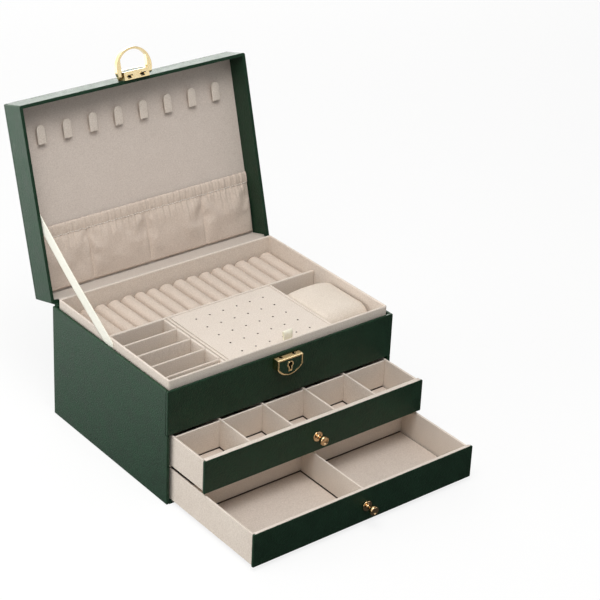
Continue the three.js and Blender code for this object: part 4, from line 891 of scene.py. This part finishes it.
# The strip's velvet is a darker copy of the lining's: painted shade under the open lid.
inner_strip.data.materials.append(velvet_material("hinge_velvet_darkened_as_painted_shade", "BAAFA5", "D0C6BC"))
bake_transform(inner_strip)
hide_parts("lid_back_lining")

# ---- Necklace hooks: eight stiff tongues wrapped in velvet, sewn to the lining at their lower end.
# Each bends a little away from the lining towards its round tip, so that a chain can slip behind it.

HOOK_FOOT, HOOK_TIP = -148.8, -167.4
HOOK_FACE, HOOK_BEND, HOOK_THICK = 21.0, 0.9, 1.7
for number in range(1, 9):
    low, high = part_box(f"necklace_hook_{number}")
    x, half = (low.x + high.x) / 2 / MM, (high.x - low.x) / 2 / MM
    outline = [(x + half, HOOK_FOOT), (x + half, HOOK_TIP + half)]
    outline += [(x + half * math.cos(math.radians(a)), HOOK_TIP + half - half * math.sin(math.radians(a)))
                for a in range(10, 180, 10)]
    outline += [(x - half, HOOK_TIP + half), (x - half, HOOK_FOOT)]
    shape = bmesh.new()
    ring = []
    for px, py in outline:
        lift = HOOK_BEND * ((HOOK_FOOT - py) / (HOOK_FOOT - HOOK_TIP)) ** 2 if py < HOOK_FOOT else 0.0
        ring.append(shape.verts.new(on_lid(px, py, HOOK_FACE - lift)))
    for vertex in moved_points(bmesh.ops.extrude_face_region(shape, geom=[shape.faces.new(ring)])):
        vertex.co -= up * HOOK_THICK * MM
    hook = solid_object(f"velvet_hook_{number}", shape)
    bevel_edges(hook, "soft_edge", 0.5 * MM, 3, 40)
    hook.data.materials.append(velvet)
    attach(hook, "lid")
    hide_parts(f"necklace_hook_{number}")

# ---- Gathered pocket: one strip of thin velvet with an elastic in its header, sewn down at three seams.
# The cut strip is a fifth wider than the lid; the elastic gathers it, so folds fall from the header.
# A cloth simulation loosens the folds, except along the sewn lower edge.

POCKET_REACH, POCKET_TOP, POCKET_BOTTOM = 125.8, 68.7, 6.0
POCKET_HIGH = POCKET_TOP - POCKET_BOTTOM
POCKET_FACE = 23.2
POCKET_SEAMS = (-126.0, -67.3, 0.0, 67.3, 126.0)
HEADER = 11.5
POCKET_BODY = POCKET_HIGH - HEADER
POCKET_COLUMNS, POCKET_ROWS = 330, 44
POCKET_FLAT, POCKET_LOOSE = 6.0, 40.0
POCKET_SWELL = 1.2 * MM


def gathers(x):
    """Fine uneven gathers along the elastic, between -1 and 1."""
    drift = 1.6 * noise.noise(Vector((x * 0.07, 0, 3.0)))
    uneven = 0.6 + 0.4 * noise.noise(Vector((x * 0.11, 5.0, 0)))
    fine = math.sin(2 * math.pi * (x + drift) / 3.7) * uneven
    return 0.7 * fine + 0.5 * math.sin(2 * math.pi * (x + 3 * drift) / 7.9)


def pocket_lift(x, up_mm):
    """How far the cloth stands off the lining, in millimetres, at a place along and up the pocket."""
    if up_mm > POCKET_BODY:
        share = (up_mm - POCKET_BODY) / HEADER
        tunnel = math.sqrt(max(0.0, 1 - (2 * share - 1) ** 2))
        return 1.5 + 1.1 * tunnel + 0.85 * gathers(x) * (0.55 + 0.45 * share)
    share = max(0.0, up_mm / POCKET_BODY)
    nearest = min(POCKET_SEAMS, key=lambda seam: abs(x - seam))
    aside, below = x - nearest, POCKET_BODY - up_mm
    belly = 3.4 * math.sin(math.pi * min(1.0, 0.05 + share * 0.83)) ** 0.9
    pleat = 1.0 * gathers(x) * math.exp(-below / 8.0)
    bearing, away = math.atan2(aside, below + 4.0), math.hypot(aside, below)
    fan = math.sin(bearing * 6.5 + 1.3 * nearest) * (1 - math.exp(-away / 5)) * math.exp(-away / 26)
    fan *= max(0.0, 1 - abs(aside) / 31)
    drape = noise.noise(Vector((x * 0.030, up_mm * 0.045, 7.0)))
    drape += 0.5 * noise.noise(Vector((x * 0.075 + up_mm * 0.03, up_mm * 0.05, 2.0)))
    seam = math.exp(-abs(aside) / 1.7)
    folds = (2.4 * fan + 1.8 * drape) * math.sin(math.pi * min(1.0, share * 0.93 + 0.04))
    lift = 0.8 + belly + pleat + folds
    return max(0.5, lift * (1 - 0.85 * seam) + 1.1 * math.exp(-abs(aside) / 0.6) * share)


def on_pocket(x, up_mm, shift=0.0, off=0.0):
    """A point of the pocket, shifted up and off the cloth in millimetres."""
    return on_lid(x, LID_BACK - POCKET_BOTTOM - up_mm + shift, POCKET_FACE - pocket_lift(x, up_mm) - off)


points, sewn, looseness = [], [], []
for i in range(POCKET_COLUMNS + 1):
    x = -POCKET_REACH + 2 * POCKET_REACH * i / POCKET_COLUMNS
    on_seam = min(abs(x - seam) for seam in POCKET_SEAMS) < 0.5
    for j in range(POCKET_ROWS + 1):
        rise = POCKET_HIGH * j / POCKET_ROWS
        if on_seam or rise > POCKET_BODY or j == 0:
            sewn.append(len(points))
        loose = min(1.0, max(0.0, (rise - POCKET_FLAT) / (POCKET_LOOSE - POCKET_FLAT)))
        looseness.append(0.8 * loose * loose * (3 - 2 * loose))
        points.append(on_pocket(x, rise, -0.55 * gathers(x + 1.0) if j == POCKET_ROWS else 0.0))
pocket = mesh_object("gathered_pocket", points, grid_faces(POCKET_COLUMNS + 1, POCKET_ROWS + 1))
settle(pocket, sewn, 22, POCKET_SWELL, growth=0.018, bending=0.1, kept=np.array(looseness))
face_z = on_lid(0, 0, POCKET_FACE - 0.5).dot(up)
for vertex in pocket.data.vertices:
    vertex.co -= up * max(0.0, vertex.co.dot(up) - face_z)
thicken(pocket, 0.4 * MM)
pocket.data.materials.append(velvet_material("warm_beige_thin_velvet", "C6B4A5", "DDCEC0"))
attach(pocket, "lid")
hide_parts("lid_pocket")

pale_thread = mottled_material("ivory_polyester_thread", 2600.0, 2.0, "DCD2C6", "F6F0E8",
                               {"Roughness": 0.55, "Sheen Weight": 0.3})
header_row = [on_pocket(x, POCKET_BODY + 0.6, 0.45 * gathers(x), 0.6)
              for x in np.arange(-POCKET_REACH + 1, POCKET_REACH - 1, 1.0)]
sew("pocket_header_stitches", [header_row], "lid", pale_thread,
    pitch=2.9 * MM, length=2.3 * MM, radius=0.85 * MM)

# ---- Lock: gold-plated halves with leatherette inlays, a keyhole rim, and the bolt and key cam behind it.
# The bail ring swings on two pins in the upper half.

# Blackened metal for the bolt and the key cam; it also serves as painted shade in the clasp's slots.
dark_steel_and_slot_shade = mottled_material("blackened_steel_and_painted_slot_shade", 900.0, 3.0, "1C1D1E", "333436",
                         {"Metallic": 1.0, "Roughness": 0.38})
finish_nodes(leatherette, "lock_inlay", "clasp_inlay")
finish_nodes(dark_steel_and_slot_shade, "lock_bolt", "key_cam")
finish_nodes(gold, "lock_case", "clasp_case", bevel=0.25 * MM)
finish_nodes(gold, "keyhole_escutcheon", bevel=0.3 * MM)
finish_nodes(gold, "bail_ring", bevel=0.45 * MM)

# The faces in the two slots in the clasp's flat edge, the pegs in them included, get the dark blackened metal
# of the bolt: painted shade in the slots.
SLOT_X, SLOT_Y, SLOT_HALF = 7.5, -196.15, (2.95, 1.85)
for side in (-SLOT_X, SLOT_X):
    for under, over in ((-3.0, 1.2), (1.75, 4.7)):
        line_hollow("clasp_case", dark_steel_and_slot_shade, on_lid(side, SLOT_Y, (under + over) / 2),
                    Vector((*SLOT_HALF, (over - under) / 2)) * MM, OPEN)

# ---- Leather hinge: one strip of leatherette glued to the backs of case and lid, folded along the seam.
# It is the only part that carries the lid.

HINGE_REACH, HINGE_FLAP = 127.0, 26.0
HINGE_STEPS, HINGE_COLUMNS = 26, 64
profile = [(HINGE.y - 0.35 * MM, HINGE.z - 0.3 * MM - HINGE_FLAP * MM * (1 - k / HINGE_STEPS))
           for k in range(HINGE_STEPS + 1)]
profile += [on_lid(0, -0.35, 0.3 + HINGE_FLAP * k / HINGE_STEPS).yz for k in range(HINGE_STEPS + 1)]
points = [((-HINGE_REACH + 2 * HINGE_REACH * column / HINGE_COLUMNS) * MM, y, z)
          for y, z in profile for column in range(HINGE_COLUMNS + 1)]
strip = mesh_object("leather_hinge_strip", points, grid_faces(len(profile), HINGE_COLUMNS + 1))
thicken(strip, 0.5 * MM)
strip.data.materials.append(leatherette)
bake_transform(strip)
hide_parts("hinge_leather_case", "hinge_leather_lid")

# ---- Stay ribbon: cream satin ribbon that stops the lid, tucked beside the tray and glued inside the lid.
# It sags by a millimetre and a half and waves a little, like a ribbon pulled almost tight.

RIBBON_WIDTH, RIBBON_THICK = 12.5 * MM, 0.3 * MM
RIBBON_STEPS = 60
RIBBON_SAG, RIBBON_WAVE = -1.4 * MM, 0.12 * MM
RIBBON_FOOT_Y = 1.0 * MM
low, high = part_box("stay_ribbon")
ribbon_x = (low.x + high.x) / 2
lid_end = on_lid(0, -88.8, 10.0)
case_end = Vector((0, RIBBON_FOOT_Y, SEAM_Z))
run = lid_end - case_end
across = Vector((0, -run.z, run.y)).normalized()
ribbon_path, ribbon_side = [Vector((ribbon_x, RIBBON_FOOT_Y, 0.1085))], [Vector((0, 1, 0))]
for step in range(RIBBON_STEPS + 1):
    share = step / RIBBON_STEPS
    here = case_end + run * share + across * (RIBBON_SAG * math.sin(math.pi * share))
    wave = RIBBON_WAVE * math.sin(3 * math.pi * share)
    ribbon_path.append(Vector((ribbon_x + wave, here.y, here.z)))
    ribbon_side.append(-across)
ribbon = ribbon_strip("satin_stay_ribbon", ribbon_path, ribbon_side, RIBBON_WIDTH, RIBBON_THICK, 10)
ribbon.data.materials.append(ribbon_material("cream_satin_ribbon", "F0EDDC", "FCFAEE"))
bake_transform(ribbon)
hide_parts("stay_ribbon")
